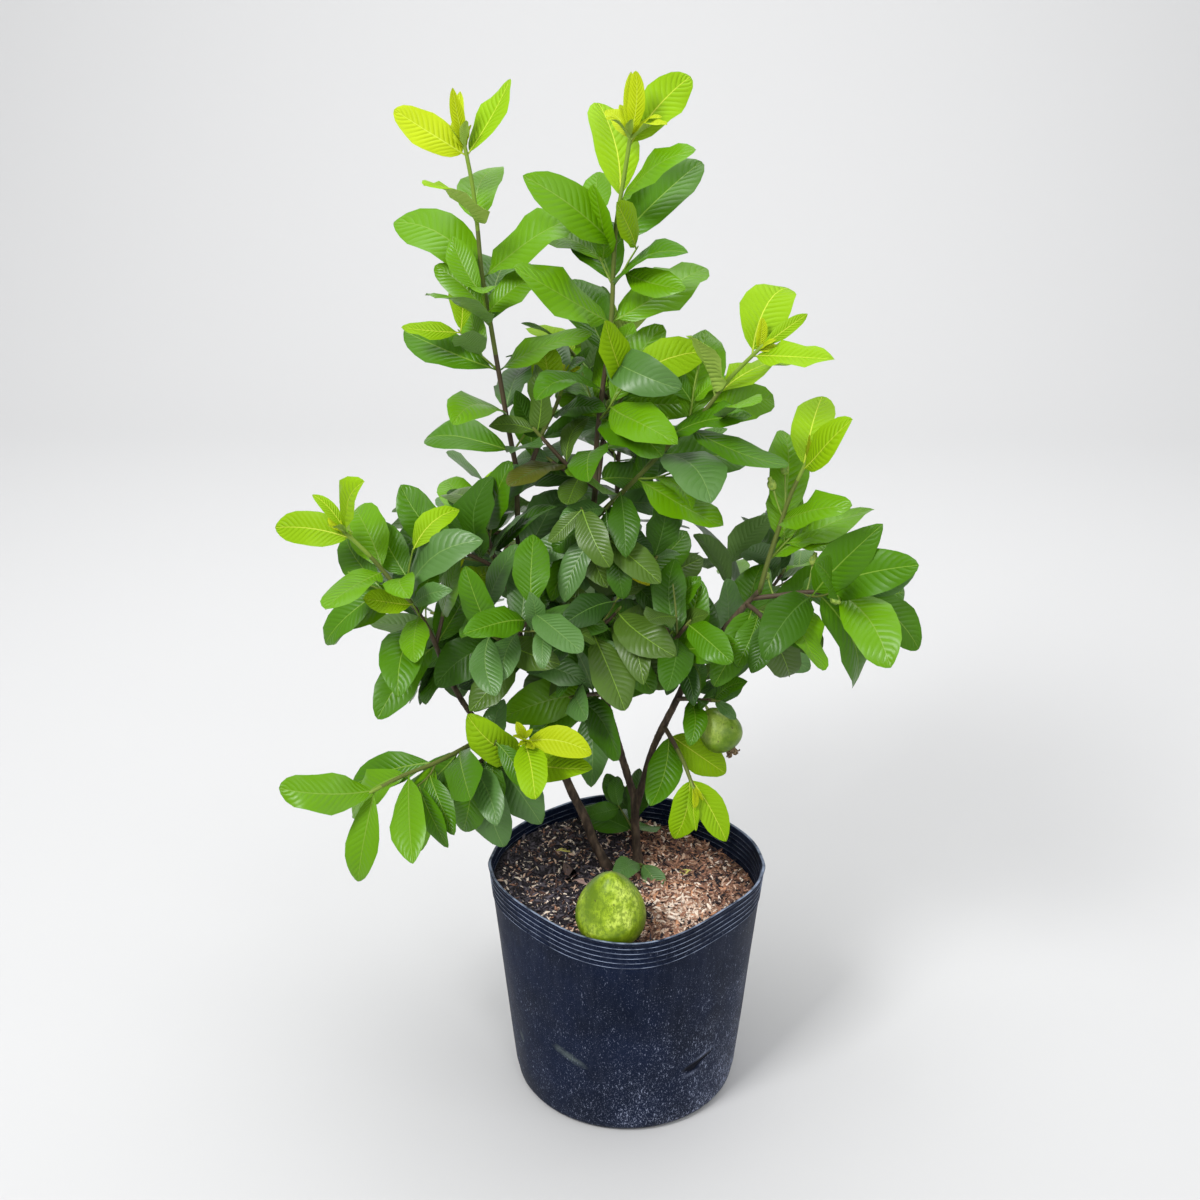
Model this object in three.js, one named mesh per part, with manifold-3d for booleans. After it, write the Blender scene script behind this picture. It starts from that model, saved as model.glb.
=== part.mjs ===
// A young guava tree in a soft black nursery pot: the pot and its mix, two stems, the boughs that fork
// from them, and the masses of leafy shoots on the boughs. Millimetres, +Z up, origin under the pot.
import * as THREE from "three";
import Module from "manifold-3d";

const wasm = await Module();
wasm.setup();

// Pot: a tapered bag of thick film with a rolled, slightly square rim.
const potHeight = 268;
const rimRadius = 150;
const footRadius = 124;
const footRound = 12;
const filmWall = 2.4;
const potFloor = 3;
const rimRoll = 6;
const rimBulge = 1.2;
const bulgeRise = 2;
const rimCorner = 0.018;
const rimSquare = { back: 0.018, front: 0.054 };
const potSides = 36;
const wallSteps = 7;

// Potting mix: flat round the stems, heaped to the left and sunk to the back right.
const mixLevel = 243;
const mixFlatRadius = 62;
const mixSlope = 0.07;
const mixDip = 9;
const mixRings = [106];
const mixPlay = 0.8;

// Pieces that touch keep this gap.
const gap = 0.3;

// Wood. The stems flare at the mix; the shoots thin out to their tips.
const stemSides = 10;
const boughSides = 8;
const shootSides = 3;
const rootFlare = 1.5;
const flareHeight = 16;
const limbStep = 36;
const shootStep = 55;
const limbKink = 4;
const shootKink = 5;
const shootRadius = [2.8, 2];

// Side shoots: a share of their mass's length, from nodes below its tip, spread out and then rising.
const sideRadius = [2.3, 1.8];
const sideNodes = [0.45, 0.75, 1];
const sideLength = [0.35, 0.5];
const sideSteps = 3;
const sideSpread = 50;
const sideRise = 60;
const sideHighest = 0.9;

// Leaves. A mass names its longest leaf, and the rest are shares of a leaf's own length.
const leafWidth = 0.46;
const leafFullness = 0.62;
const leafKeel = 0.018;
const petiole = 0.06;
const petioleDepth = 1.6;
const rootInset = 0.4;
const leafStations = [0.22, 0.5, 0.8];
const budStations = [0.35, 0.75];
const pairSpacing = 0.85;
const budGap = 9;
const nodeInset = 2.5;
const leafSizes = [0.92, 1.08];
const spreadPlay = 7;
const leafArch = [0.25, 0.75];
const fullDroopAge = 3;

// By age along a shoot: the pair at a growing tip is 0, the next is 1, and so on down.
const ageSize = [0.5, 0.82, 0.95, 1.03, 1.02, 0.98, 0.92, 0.86];
const ageSpread = [16, 34, 42, 48, 53, 58, 62, 66];
const budWidth = 0.55;

// Upper faces turn to the light, which comes from the front, or from behind on the far side.
const frontLight = new THREE.Vector3(-0.1, -0.75, 0.7);
const backLight = new THREE.Vector3(0, 0.5, 0.85);
const farSide = 120;
const tipPull = 0.4;

// A shoot steeper than this counts as upright, and its first pair then lies along X.
const uprightShare = 0.94;

// How near a leaf may come to wood and to other leaves; less to those of its own mass.
const leafClearance = 8;
const woodClearance = 4.5;
const ownShare = 0.62;
const woodStep = 4;
const potClearance = 8;
const rimMargin = 24;
const cell = 14;

// Guavas stand on the flower end and narrow towards the stalk.
const guavaTaper = 0.5;
const guavaRings = 9;
const guavaSides = 14;
const looseGuava = { width: 70, height: 88, x: -16, y: -104, lean: 12, lift: 1.2 };
const hangingGuava = { mass: "fruit_foliage", along: 0.7, width: 44, height: 50, heading: -20, climb: -58 };
const hangingShares = [0.92, 0.74, 0.54, 0.34, 0.14, 0];
const stalkLength = 11;
const stalkRadius = 1.8;
const stalkSink = 4;

// Stems and boughs. A limb starts on the mix, or at a share of the way up the limb it forks from. Its
// heading and climb, in degrees, swing from one pair to another: 0 is +X, 90 is +Y, and 90 is upright.
const limbs = [
  { name: "left_stem", foot: [-20, 27], from: [172, 67], to: [172, 68], length: 140, radius: [5.6, 4.9] },
  { name: "right_stem", foot: [13, 36], from: [140, 86], to: [130, 86], length: 84, radius: [5.2, 4.8] },
  { name: "upper_left_bough", on: "left_stem", at: 1, from: [140, 74], to: [150, 89], length: 335,
    radius: [4.6, 2.9] },
  { name: "left_bough", on: "left_stem", at: 0.93, from: [-162, 26], to: [-155, 74], length: 214,
    radius: [4.2, 2.9] },
  { name: "centre_bough", on: "right_stem", at: 1, from: [158, 70], to: [164, 77], length: 253,
    radius: [4.5, 3.9] },
  { name: "leader_bough", on: "centre_bough", at: 1, from: [-8, 76], to: [-20, 86], length: 139,
    radius: [3.7, 3] },
  { name: "right_bough", on: "right_stem", at: 0.9, from: [-18, 80], to: [-20, 51], length: 316,
    radius: [4.3, 2.9] },
  { name: "back_left_bough", on: "upper_left_bough", at: 0.25, from: [125, 35], to: [110, 60], length: 150,
    radius: [3.3, 2.9] },
  { name: "back_bough", on: "centre_bough", at: 0.45, from: [90, 35], to: [85, 70], length: 190,
    radius: [3.5, 2.9] },
  { name: "back_right_bough", on: "right_bough", at: 0.3, from: [55, 35], to: [40, 60], length: 160,
    radius: [3.3, 2.9] },
];

// Masses of foliage. Each has one shoot, set on a limb as limbs are, with pairs of leaves that turn a
// quarter from one to the next, and side shoots by a seeded rule. Age is that of its last pair, and
// reach is how far from its shoot the mass may spread.
const masses = [
  { name: "tall_left_foliage", on: "upper_left_bough", at: 1, from: [-166, 80], to: [-165, 84], length: 334,
    bare: 20, pairs: 8, roll: 165, leaf: 116, droop: 0, age: 0, sides: 0, reach: 130, seed: 11 },
  { name: "tall_centre_foliage", on: "leader_bough", at: 1, from: [-40, 87], to: [-20, 82], length: 340,
    bare: 20, pairs: 10, roll: 30, leaf: 118, droop: 0, age: 0, sides: 0, reach: 130, seed: 13 },
  { name: "upper_right_foliage", on: "leader_bough", at: 0.55, from: [-22, 48], to: [-15, 53], length: 270,
    bare: 40, pairs: 7, roll: 150, leaf: 112, droop: 0.1, age: 0, sides: 0, reach: 130, seed: 14 },
  { name: "right_top_foliage", on: "right_bough", at: 1, from: [-13, 80], to: [-15, 68], length: 150,
    bare: 34, pairs: 4, roll: 15, leaf: 116, droop: 0.1, age: 0, sides: 0, reach: 120, seed: 15 },
  { name: "right_outer_foliage", on: "right_bough", at: 0.96, from: [-22, 20], to: [-25, 12], length: 118,
    bare: 50, pairs: 4, roll: 0, leaf: 112, droop: 0.4, age: 1, sides: 0, reach: 125, seed: 16 },
  { name: "left_outer_foliage", on: "left_bough", at: 1, from: [-140, 75], to: [-168, 42], length: 186,
    bare: 20, pairs: 6, roll: 60, leaf: 104, droop: 0.4, age: 0, sides: 1, reach: 140, seed: 20 },
  { name: "left_low_foliage", on: "left_bough", at: 0.5, from: [-130, -4], to: [-142, -4], length: 152,
    bare: 40, pairs: 4, roll: 15, leaf: 106, droop: 0.5, age: 2, sides: 0, reach: 125, seed: 21 },
  { name: "front_foliage", on: "left_bough", at: 0.2, from: [-98, 36], to: [-80, 40], length: 140,
    bare: 60, pairs: 3, roll: 0, leaf: 94, droop: 0.1, age: 0, sides: 0, reach: 130, seed: 22 },
  { name: "front_left_foliage", on: "left_bough", at: 0.4, from: [-105, 15], to: [-115, 5], length: 74,
    bare: 30, pairs: 3, roll: 30, leaf: 94, droop: 0.8, age: 2, sides: 0, reach: 130, seed: 23 },
  { name: "low_right_foliage", on: "right_bough", at: 0.36, from: [-60, -10], to: [-70, -45], length: 84,
    bare: 14, pairs: 3, roll: 0, leaf: 94, droop: 0.5, age: 0, sides: 0, reach: 110, seed: 19 },
  { name: "fruit_foliage", on: "right_bough", at: 0.48, from: [-55, 22], to: [-30, 12], length: 56,
    bare: 20, pairs: 3, roll: 60, leaf: 60, droop: 0.1, age: 1, sides: 0, reach: 90, seed: 18 },
  { name: "right_middle_foliage", on: "right_bough", at: 0.93, from: [-70, 10], to: [-75, 0], length: 50,
    bare: 14, pairs: 3, roll: 45, leaf: 88, droop: 0.6, age: 2, sides: 0, reach: 120, seed: 17 },
  { name: "low_centre_foliage", on: "centre_bough", at: 0.5, from: [-80, 38], to: [-150, 10], length: 80,
    bare: 20, pairs: 3, roll: 30, leaf: 96, droop: 0.1, age: 2, sides: 0, reach: 130, seed: 27 },
  { name: "upper_front_foliage", on: "leader_bough", at: 0.62, from: [-80, 10], to: [-85, 0], length: 66,
    bare: 20, pairs: 3, roll: 30, leaf: 88, droop: 0.8, age: 2, sides: 0, reach: 130, seed: 31 },
  { name: "tall_left_side_foliage", on: "upper_left_bough", at: 0.95, from: [15, 60], to: [15, 72],
    length: 125, bare: 30, pairs: 5, roll: 30, leaf: 84, droop: 0.1, age: 0, sides: 0, reach: 110, seed: 12 },
  { name: "inner_left_foliage", on: "upper_left_bough", at: 0.35, from: [-112, 38], to: [-105, 36],
    length: 146, bare: 30, pairs: 4, roll: 30, leaf: 80, droop: 0.3, age: 2, sides: 2, reach: 140, seed: 24 },
  { name: "middle_left_foliage", on: "upper_left_bough", at: 0.6, from: [-128, 40], to: [-150, 35],
    length: 110, bare: 24, pairs: 4, roll: 30, leaf: 92, droop: 0.4, age: 2, sides: 2, reach: 140, seed: 25 },
  { name: "left_up_foliage", on: "upper_left_bough", at: 0.78, from: [170, 4], to: [165, 8],
    length: 56, bare: 24, pairs: 3, roll: 30, leaf: 80, droop: 0.3, age: 2, sides: 1, reach: 130, seed: 26 },
  { name: "middle_centre_foliage", on: "centre_bough", at: 0.72, from: [-86, 37], to: [-86, 30], length: 112,
    bare: 24, pairs: 4, roll: 30, leaf: 90, droop: 0.5, age: 2, sides: 2, reach: 130, seed: 28 },
  { name: "inner_right_foliage", on: "right_bough", at: 0.62, from: [-130, 35], to: [-110, 45], length: 110,
    bare: 24, pairs: 4, roll: 30, leaf: 80, droop: 0.4, age: 2, sides: 2, reach: 130, seed: 30 },
  { name: "middle_right_foliage", on: "centre_bough", at: 0.9, from: [-25, 35], to: [-30, 50], length: 120,
    bare: 24, pairs: 4, roll: 30, leaf: 86, droop: 0.4, age: 2, sides: 2, reach: 140, seed: 29 },
  { name: "leader_left_foliage", on: "leader_bough", at: 0.85, from: [-165, 35], to: [-165, 55], length: 90,
    bare: 20, pairs: 4, roll: 30, leaf: 82, droop: 0.2, age: 1, sides: 1, reach: 120, seed: 32 },
  { name: "leader_back_foliage", on: "leader_bough", at: 0.7, from: [80, 45], to: [80, 60], length: 190,
    bare: 30, pairs: 5, roll: 30, leaf: 100, droop: 0.2, age: 0, sides: 2, reach: 140, seed: 45 },
  { name: "back_left_foliage", on: "back_left_bough", at: 1, from: [120, 10], to: [125, 0], length: 130,
    bare: 20, pairs: 5, roll: 30, leaf: 102, droop: 0.4, age: 1, sides: 2, reach: 150, seed: 34 },
  { name: "back_foliage", on: "back_bough", at: 1, from: [90, 60], to: [80, 45], length: 180,
    bare: 20, pairs: 5, roll: 30, leaf: 102, droop: 0.3, age: 1, sides: 2, reach: 150, seed: 35 },
  { name: "back_right_foliage", on: "back_right_bough", at: 1, from: [55, -10], to: [60, -20], length: 120,
    bare: 20, pairs: 5, roll: 30, leaf: 102, droop: 0.4, age: 1, sides: 2, reach: 150, seed: 36 },
  { name: "low_back_left_foliage", on: "back_left_bough", at: 0.6, from: [150, -12], to: [150, -15],
    length: 120, bare: 20, pairs: 4, roll: 30, leaf: 96, droop: 0.6, age: 2, sides: 1, reach: 140, seed: 37 },
  { name: "low_back_right_foliage", on: "back_right_bough", at: 0.6, from: [15, 25], to: [10, 30],
    length: 96, bare: 20, pairs: 4, roll: 30, leaf: 82, droop: 0.2, age: 2, sides: 1, reach: 140, seed: 38 },
  { name: "low_back_foliage", on: "back_bough", at: 0.5, from: [95, 15], to: [100, 10], length: 110,
    bare: 20, pairs: 4, roll: 30, leaf: 92, droop: 0.6, age: 2, sides: 1, reach: 140, seed: 39 },
  { name: "stem_foliage", on: "right_stem", at: 0.5, from: [110, 30], to: [100, 40], length: 40,
    bare: 14, pairs: 3, roll: 30, leaf: 52, droop: 0.3, age: 1, sides: 0, reach: 80, seed: 40 },
  { name: "foot_foliage", on: "right_stem", at: 0.12, from: [-85, 15], to: [-80, 25], length: 22,
    bare: 20, pairs: 1, roll: 30, leaf: 36, droop: 0.1, age: 2, sides: 0, reach: 60, seed: 41 },
];

const tones = {
  film: { color: 0x1c222e, roughness: 0.55 },
  mix: { color: 0x5a4030, roughness: 0.95 },
  bark: { color: 0x4a3a30, roughness: 0.8 },
  leaf: { color: 0x4f8a1c, roughness: 0.5 },
  fruit: { color: 0x9db83c, roughness: 0.45 },
};

const radians = THREE.MathUtils.degToRad;
const degrees = THREE.MathUtils.radToDeg;
const between = THREE.MathUtils.lerp;
const up = new THREE.Vector3(0, 0, 1);

// An even run of random shares for each seed (the mulberry32 rule).
function randomFrom(seed) {
  let state = seed;
  return () => {
    state = (state + 0x6d2b79f5) | 0;
    let bits = Math.imul(state ^ (state >>> 15), 1 | state);
    bits = (bits + Math.imul(bits ^ (bits >>> 7), 61 | bits)) ^ bits;
    return ((bits ^ (bits >>> 14)) >>> 0) / 4294967296;
  };
}

function directionOf(heading, climb) {
  const level = Math.cos(radians(climb));
  return new THREE.Vector3(
    level * Math.cos(radians(heading)),
    level * Math.sin(radians(heading)),
    Math.sin(radians(climb)),
  );
}

// The points of a limb or shoot, in equal steps with a small random kink at each.
function growPath({ start, from, to, length }, steps, kink, random) {
  const points = [start.clone()];
  for (let step = 0; step < steps; step += 1) {
    const share = (step + 0.5) / steps;
    const heading = between(from[0], to[0], share) + kink * (2 * random() - 1);
    const climb = between(from[1], to[1], share) + kink * (2 * random() - 1);
    points.push(points.at(-1).clone().addScaledVector(directionOf(heading, climb), length / steps));
  }
  return points;
}

function pointAt(points, share) {
  const place = Math.min(share, 0.99999) * (points.length - 1);
  const index = Math.floor(place);
  return points[index].clone().lerp(points[index + 1], place - index);
}

function tangentAt(points, share) {
  const index = Math.min(Math.floor(share * (points.length - 1)), points.length - 2);
  return points[index + 1].clone().sub(points[index]).normalize();
}

// Where a limb or shoot starts: on the mix, just past the tip it continues, or inside its parent limb.
function rootOf({ foot, on, at }) {
  if (foot) {
    return { start: new THREE.Vector3(foot[0], foot[1], mixLevel + gap), footNormal: up };
  }
  const parent = limbByName.get(on);
  if (at === 1) {
    const footNormal = tangentAt(parent.points, 1);
    return { start: parent.points.at(-1).clone().addScaledVector(footNormal, gap), footNormal };
  }
  return { start: pointAt(parent.points, at) };
}

// A closed solid through rings with the same number of corners; the last may be a single point.
function loft(rings) {
  const positions = rings.flat().flatMap((point) => point.toArray());
  const sides = rings[0].length;
  const triangles = [];
  for (let corner = 1; corner < sides - 1; corner += 1) {
    triangles.push(0, corner + 1, corner);
  }
  for (let level = 0; level < rings.length - 1; level += 1) {
    const here = level * sides;
    const above = here + sides;
    for (let side = 0; side < sides; side += 1) {
      const next = (side + 1) % sides;
      if (rings[level + 1].length === 1) {
        triangles.push(here + side, here + next, above);
      } else {
        triangles.push(here + side, here + next, above + next, here + side, above + next, above + side);
      }
    }
  }
  const end = (rings.length - 1) * sides;
  for (let corner = 1; corner < rings.at(-1).length - 1; corner += 1) {
    triangles.push(end, end + corner, end + corner + 1);
  }
  return new wasm.Manifold(new wasm.Mesh({
    numProp: 3,
    vertProperties: new Float32Array(positions),
    triVerts: new Uint32Array(triangles),
  }));
}

// Rings of a tapering tube. The first is square to the foot's normal, where there is one.
function ringsAlong(points, radii, sides, footNormal) {
  const last = points.length - 1;
  let across = new THREE.Vector3(1, 0, 0);
  return points.map((point, index) => {
    const before = points[Math.max(index - 1, 0)];
    const after = points[Math.min(index + 1, last)];
    const along = index === 0 && footNormal ? footNormal : after.clone().sub(before).normalize();
    across = across.clone().addScaledVector(along, -across.dot(along)).normalize();
    const aside = along.clone().cross(across);
    return Array.from({ length: sides }, (_, corner) => {
      const angle = (2 * Math.PI * corner) / sides;
      return point.clone()
        .addScaledVector(across, radii[index] * Math.cos(angle))
        .addScaledVector(aside, radii[index] * Math.sin(angle));
    });
  });
}

function taper([first, last], count) {
  return Array.from({ length: count }, (_, index) => between(first, last, index / (count - 1)));
}

function largestPiece(solid) {
  return solid.decompose().sort((a, b) => b.volume() - a.volume())[0];
}

// The room that is taken, in a grid of cells. Each entry is a point, its owner and how near one may come.
const taken = new Map();
function cellOf(point) {
  return point.toArray().map((value) => Math.floor(value / cell));
}

function take(point, clearance, owner) {
  const key = cellOf(point).join();
  taken.set(key, [...(taken.get(key) ?? []), { point, clearance, owner }]);
}

function takePath(points, radius, owner) {
  for (let index = 0; index < points.length - 1; index += 1) {
    const count = Math.ceil(points[index].distanceTo(points[index + 1]) / woodStep);
    for (let step = 0; step < count; step += 1) {
      take(points[index].clone().lerp(points[index + 1], step / count), radius + woodClearance, owner);
    }
  }
}

function isFree(point, owner) {
  const [i, j, k] = cellOf(point);
  for (let a = i - 1; a <= i + 1; a += 1) {
    for (let b = j - 1; b <= j + 1; b += 1) {
      for (let c = k - 1; c <= k + 1; c += 1) {
        for (const entry of taken.get([a, b, c].join()) ?? []) {
          const share = entry.owner === owner ? ownShare : 1;
          if (entry.point.distanceTo(point) < entry.clearance * share) {
            return false;
          }
        }
      }
    }
  }
  return true;
}

// Leaves stay above the mix inside the pot, and above the rim over its wall.
function clearsPot(point) {
  const radius = Math.hypot(point.x, point.y);
  if (radius < rimRadius - rimMargin) {
    return point.z > mixLevel + potClearance;
  }
  return radius > rimRadius + potClearance || point.z > potHeight + potClearance;
}

// Limbs: each is a tapering tube, cut clear of the limbs grown before it.
const limbByName = new Map();
function growLimb(limb, index) {
  const { start, footNormal } = rootOf(limb);
  const steps = Math.round(limb.length / limbStep);
  const points = growPath({ ...limb, start }, steps, limbKink, randomFrom(index + 1));
  const radii = taper(limb.radius, points.length);
  if (limb.foot) {
    points.splice(1, 0, pointAt(points, flareHeight / limb.length));
    radii.splice(1, 0, radii[0]);
    radii[0] *= rootFlare;
  }
  const sides = limb.foot ? stemSides : boughSides;
  const around = loft(ringsAlong(points, radii.map((radius) => radius + gap), sides, footNormal));
  let solid = loft(ringsAlong(points, radii, sides, footNormal));
  for (const other of limbByName.values()) {
    if (limb.at !== 1 || limb.on !== other.name) {
      solid = solid.subtract(other.around);
    }
  }
  takePath(points, limb.radius[0], limb.name);
  limbByName.set(limb.name, { ...limb, points, around, solid: largestPiece(solid) });
}

// The way a leaf leaves its shoot: round it by the node's roll, and out by the spread.
function leafDirection(points, along, roll, spread) {
  const tangent = tangentAt(points, along);
  const level = tangent.z > uprightShare ? new THREE.Vector3(1, 0, 0) : up.clone().cross(tangent);
  const across = level.addScaledVector(tangent, -level.dot(tangent)).normalize();
  const aside = tangent.clone().cross(across);
  return tangent.multiplyScalar(Math.cos(radians(spread)))
    .addScaledVector(across, Math.sin(radians(spread)) * Math.cos(radians(roll)))
    .addScaledVector(aside, Math.sin(radians(spread)) * Math.sin(radians(roll)));
}

// Where the pairs of a shoot stand, as shares of its length. They draw apart towards the tip, and a
// growing shoot ends in a bud, close above its youngest pair.
function pairsAlong({ length, bare, pairs, age }) {
  const budded = age === 0 && pairs > 2;
  const end = 1 - nodeInset / length;
  const top = budded ? end - budGap / length : end;
  const open = budded ? pairs - 1 : pairs;
  const spots = Array.from({ length: open }, (_, pair) => (
    between(top, bare / length, (1 - (open === 1 ? 1 : pair / (open - 1))) ** pairSpacing)));
  return budded ? [...spots, end] : spots;
}

// The wood of one mass: its shoot with a node for each pair, then side shoots from some of the nodes.
function growShoots(mass) {
  const random = randomFrom(mass.seed);
  const { start, footNormal } = rootOf(mass);
  const steps = Math.ceil(mass.length / shootStep) + 1;
  const points = growPath({ ...mass, start }, steps, shootKink, random);
  const nodes = pairsAlong(mass).map((along, pair) => (
    { along, age: mass.age + mass.pairs - 1 - pair, roll: mass.roll + 90 * pair }));
  const shoots = [{ points, radii: taper(shootRadius, points.length), footNormal, nodes }];
  const spots = nodes.filter((node) => node.along < sideHighest);
  for (let count = 0; count < mass.sides; count += 1) {
    const [spot] = spots.splice(Math.floor(random() * spots.length), 1);
    const length = mass.length * between(...sideLength, random());
    const turn = random() < 0.5 ? 0 : 180;
    const out = leafDirection(points, spot.along, spot.roll + turn, sideSpread);
    const heading = degrees(Math.atan2(out.y, out.x));
    const climb = degrees(Math.asin(out.z));
    const side = {
      start: pointAt(points, spot.along),
      from: [heading, climb],
      to: [heading, (climb + sideRise) / 2],
      length,
    };
    const sidePoints = growPath(side, sideSteps, shootKink, random);
    shoots.push({
      points: sidePoints,
      radii: taper(sideRadius, sidePoints.length),
      nodes: sideNodes.map((share, pair) => ({
        along: Math.min(share, 1 - nodeInset / length),
        age: mass.age + sideNodes.length - 1 - pair,
        roll: mass.roll + 45 + 90 * pair,
      })),
    });
  }
  shoots.forEach((shoot) => takePath(shoot.points, shoot.radii[0], mass.name));
  return { ...mass, shoots, random };
}

// A point on a leaf: along its middle line, which arches over, and across towards either edge.
function leafPoint(leaf, along, across) {
  const turn = leaf.arch * along;
  const blade = Math.max((along - petiole) / (1 - petiole), 0);
  const half = 0.5 * leaf.width * (4 * blade * (1 - blade)) ** leafFullness;
  return leaf.base.clone()
    .addScaledVector(leaf.out, (leaf.length * Math.sin(turn)) / leaf.arch)
    .addScaledVector(leaf.normal, (-leaf.length * (1 - Math.cos(turn))) / leaf.arch)
    .addScaledVector(leaf.side, half * across);
}

function leafSamples(leaf) {
  const samples = [leafPoint(leaf, 1, 0)];
  for (const along of [0.2, 0.3, 0.4, 0.5, 0.6, 0.7, 0.8, 0.9]) {
    for (const across of [-0.9, -0.45, 0, 0.45, 0.9]) {
      samples.push(leafPoint(leaf, along, across));
    }
  }
  return samples;
}

// A leaf is a thin blade, flat above and keeled below, that grows from an upright edge inside the shoot.
function leafSolid(leaf) {
  const keel = leaf.normal.clone().multiplyScalar(-Math.max(leafKeel * leaf.length, petioleDepth));
  const root = [leaf.base, leaf.base, leaf.base.clone().add(keel)];
  const stations = leaf.bud ? budStations : leafStations;
  const rings = stations.map((along) => [
    leafPoint(leaf, along, -1),
    leafPoint(leaf, along, 1),
    leafPoint(leaf, along, 0).add(keel),
  ]);
  return loft([root, ...rings, [leafPoint(leaf, 1, 0)]]);
}

// A leaf that finds no room is turned round the shoot, then tried smaller, before it is left out.
const tries = [1, 0.85, 0.7].flatMap((shrink) => (
  [0, 18, -18, 36, -36, 54, -54].map((nudge) => ({ nudge, shrink }))));

function placeLeaf(mass, shoot, node, turn) {
  const age = Math.min(node.age, ageSize.length - 1);
  const size = mass.leaf * ageSize[age] * between(...leafSizes, mass.random());
  const spread = ageSpread[age] + spreadPlay * (2 * mass.random() - 1);
  const arch = between(...leafArch, mass.random());
  const droop = (mass.droop * Math.min(node.age, fullDroopAge)) / fullDroopAge;
  const place = pointAt(shoot.points, node.along);
  const light = place.y < farSide ? frontLight : backLight;
  for (const { nudge, shrink } of tries) {
    const out = leafDirection(shoot.points, node.along, node.roll + turn + nudge, spread);
    out.z -= droop;
    out.normalize();
    const facing = light.clone().addScaledVector(tangentAt(shoot.points, node.along), tipPull);
    const normal = facing.addScaledVector(out, -facing.dot(out)).normalize();
    const length = size * shrink;
    const leaf = { base: place.clone().addScaledVector(out, rootInset), out, normal, arch, length };
    leaf.side = out.clone().cross(normal);
    leaf.bud = node.age === 0;
    leaf.width = leafWidth * length * (leaf.bud ? budWidth : 1);
    const samples = leafSamples(leaf);
    const within = mass.shoots[0].points.some((point) => point.distanceTo(samples[0]) < mass.reach);
    if (within && samples.every((point) => isFree(point, mass.name) && clearsPot(point))) {
      samples.forEach((point) => take(point, leafClearance, mass.name));
      return [leaf];
    }
  }
  return [];
}

function placeLeaves(mass) {
  return mass.shoots.flatMap((shoot) => (
    [...shoot.nodes].reverse().flatMap((node) => (
      [0, 180].flatMap((turn) => placeLeaf(mass, shoot, node, turn))))));
}

// A guava's radius and height at a share of the way from its flower end to its stalk.
function guavaProfile({ width, height }, share) {
  return {
    radius: 0.5 * width * Math.sin(Math.PI * share) * (1 + guavaTaper * (0.5 - share)),
    rise: 0.5 * height * (1 - Math.cos(Math.PI * share)),
  };
}

// The guava that hangs by a short stalk from a shoot, as rings from its shoulder to its flower end.
function hangGuava(mass) {
  const { along, heading, climb, height } = hangingGuava;
  const hang = directionOf(heading, climb);
  const top = pointAt(mass.shoots[0].points, along);
  const shoulder = top.clone().addScaledVector(hang, stalkLength);
  const stalk = [top, shoulder.clone().addScaledVector(hang, stalkSink)];
  const stalkRings = ringsAlong(stalk, [stalkRadius, stalkRadius], shootSides);
  const sections = hangingShares.map((share) => guavaProfile(hangingGuava, share));
  const points = sections.map(({ rise }) => shoulder.clone().addScaledVector(hang, height - rise));
  const rings = ringsAlong(points, sections.map(({ radius }) => radius), boughSides);
  rings[rings.length - 1] = [points.at(-1)];
  rings.flat().forEach((point) => take(point, leafClearance, hangingGuava.mass));
  return loft(stalkRings).add(loft(rings));
}

function massSolid(mass) {
  const pieces = mass.shoots.map((shoot) => (
    loft(ringsAlong(shoot.points, shoot.radii, shootSides, shoot.footNormal))));
  if (mass.fruit) {
    pieces.push(mass.fruit);
  }
  pieces.push(...mass.leaves.map(leafSolid));
  let solid = pieces.reduce((whole, piece) => whole.add(piece));
  for (const limb of limbByName.values()) {
    if (mass.at !== 1 || limb.name !== mass.on) {
      solid = solid.subtract(limb.around);
    }
  }
  return largestPiece(solid);
}

// Pot, mix and loose guava are turned on a lathe.
function turned(profile, sides) {
  const outline = profile.map(([radius, z]) => new THREE.Vector2(radius, z));
  return new THREE.LatheGeometry(outline, sides).rotateX(Math.PI / 2);
}

// The soft rim is pulled square, with its corners left, right, front and back, and more so at the front.
function squared(geometry) {
  const position = geometry.attributes.position;
  for (let index = 0; index < position.count; index += 1) {
    const [x, y, z] = [position.getX(index), position.getY(index), position.getZ(index)];
    const square = y < 0 ? rimSquare.front : rimSquare.back;
    const flat = square * (1 - Math.cos(4 * Math.atan2(y, x)));
    const push = 1 + (rimCorner - flat) * (z / potHeight);
    position.setXYZ(index, x * push, y * push, z);
  }
  return geometry;
}

function wallRadius(z) {
  return between(footRadius, rimRadius, z / potHeight);
}

// The tapered wall between two heights, in steps that follow the squared rim's slow twist.
function wallRun(fromHeight, toHeight, inset) {
  return Array.from({ length: wallSteps - 1 }, (_, step) => {
    const z = between(fromHeight, toHeight, (step + 1) / wallSteps);
    return [wallRadius(z) - inset, z];
  });
}

function potGeometry() {
  const profile = [[0, 0]];
  for (const angle of [0, 45, 90]) {
    profile.push([
      footRadius - footRound * (1 - Math.sin(radians(angle))),
      footRound * (1 - Math.cos(radians(angle))),
    ]);
  }
  const rollFoot = potHeight - rimRoll;
  const innerFoot = footRound + potFloor;
  profile.push(...wallRun(footRound, rollFoot, 0));
  profile.push([wallRadius(rollFoot), rollFoot], [wallRadius(rollFoot) + rimBulge, rollFoot + bulgeRise]);
  profile.push([wallRadius(potHeight) + rimBulge, potHeight], [wallRadius(potHeight) - filmWall, potHeight]);
  profile.push(...wallRun(potHeight, innerFoot, filmWall), [wallRadius(footRound) - filmWall, innerFoot]);
  profile.push([footRadius - footRound, potFloor], [0, potFloor]);
  return squared(turned(profile, potSides));
}

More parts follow.
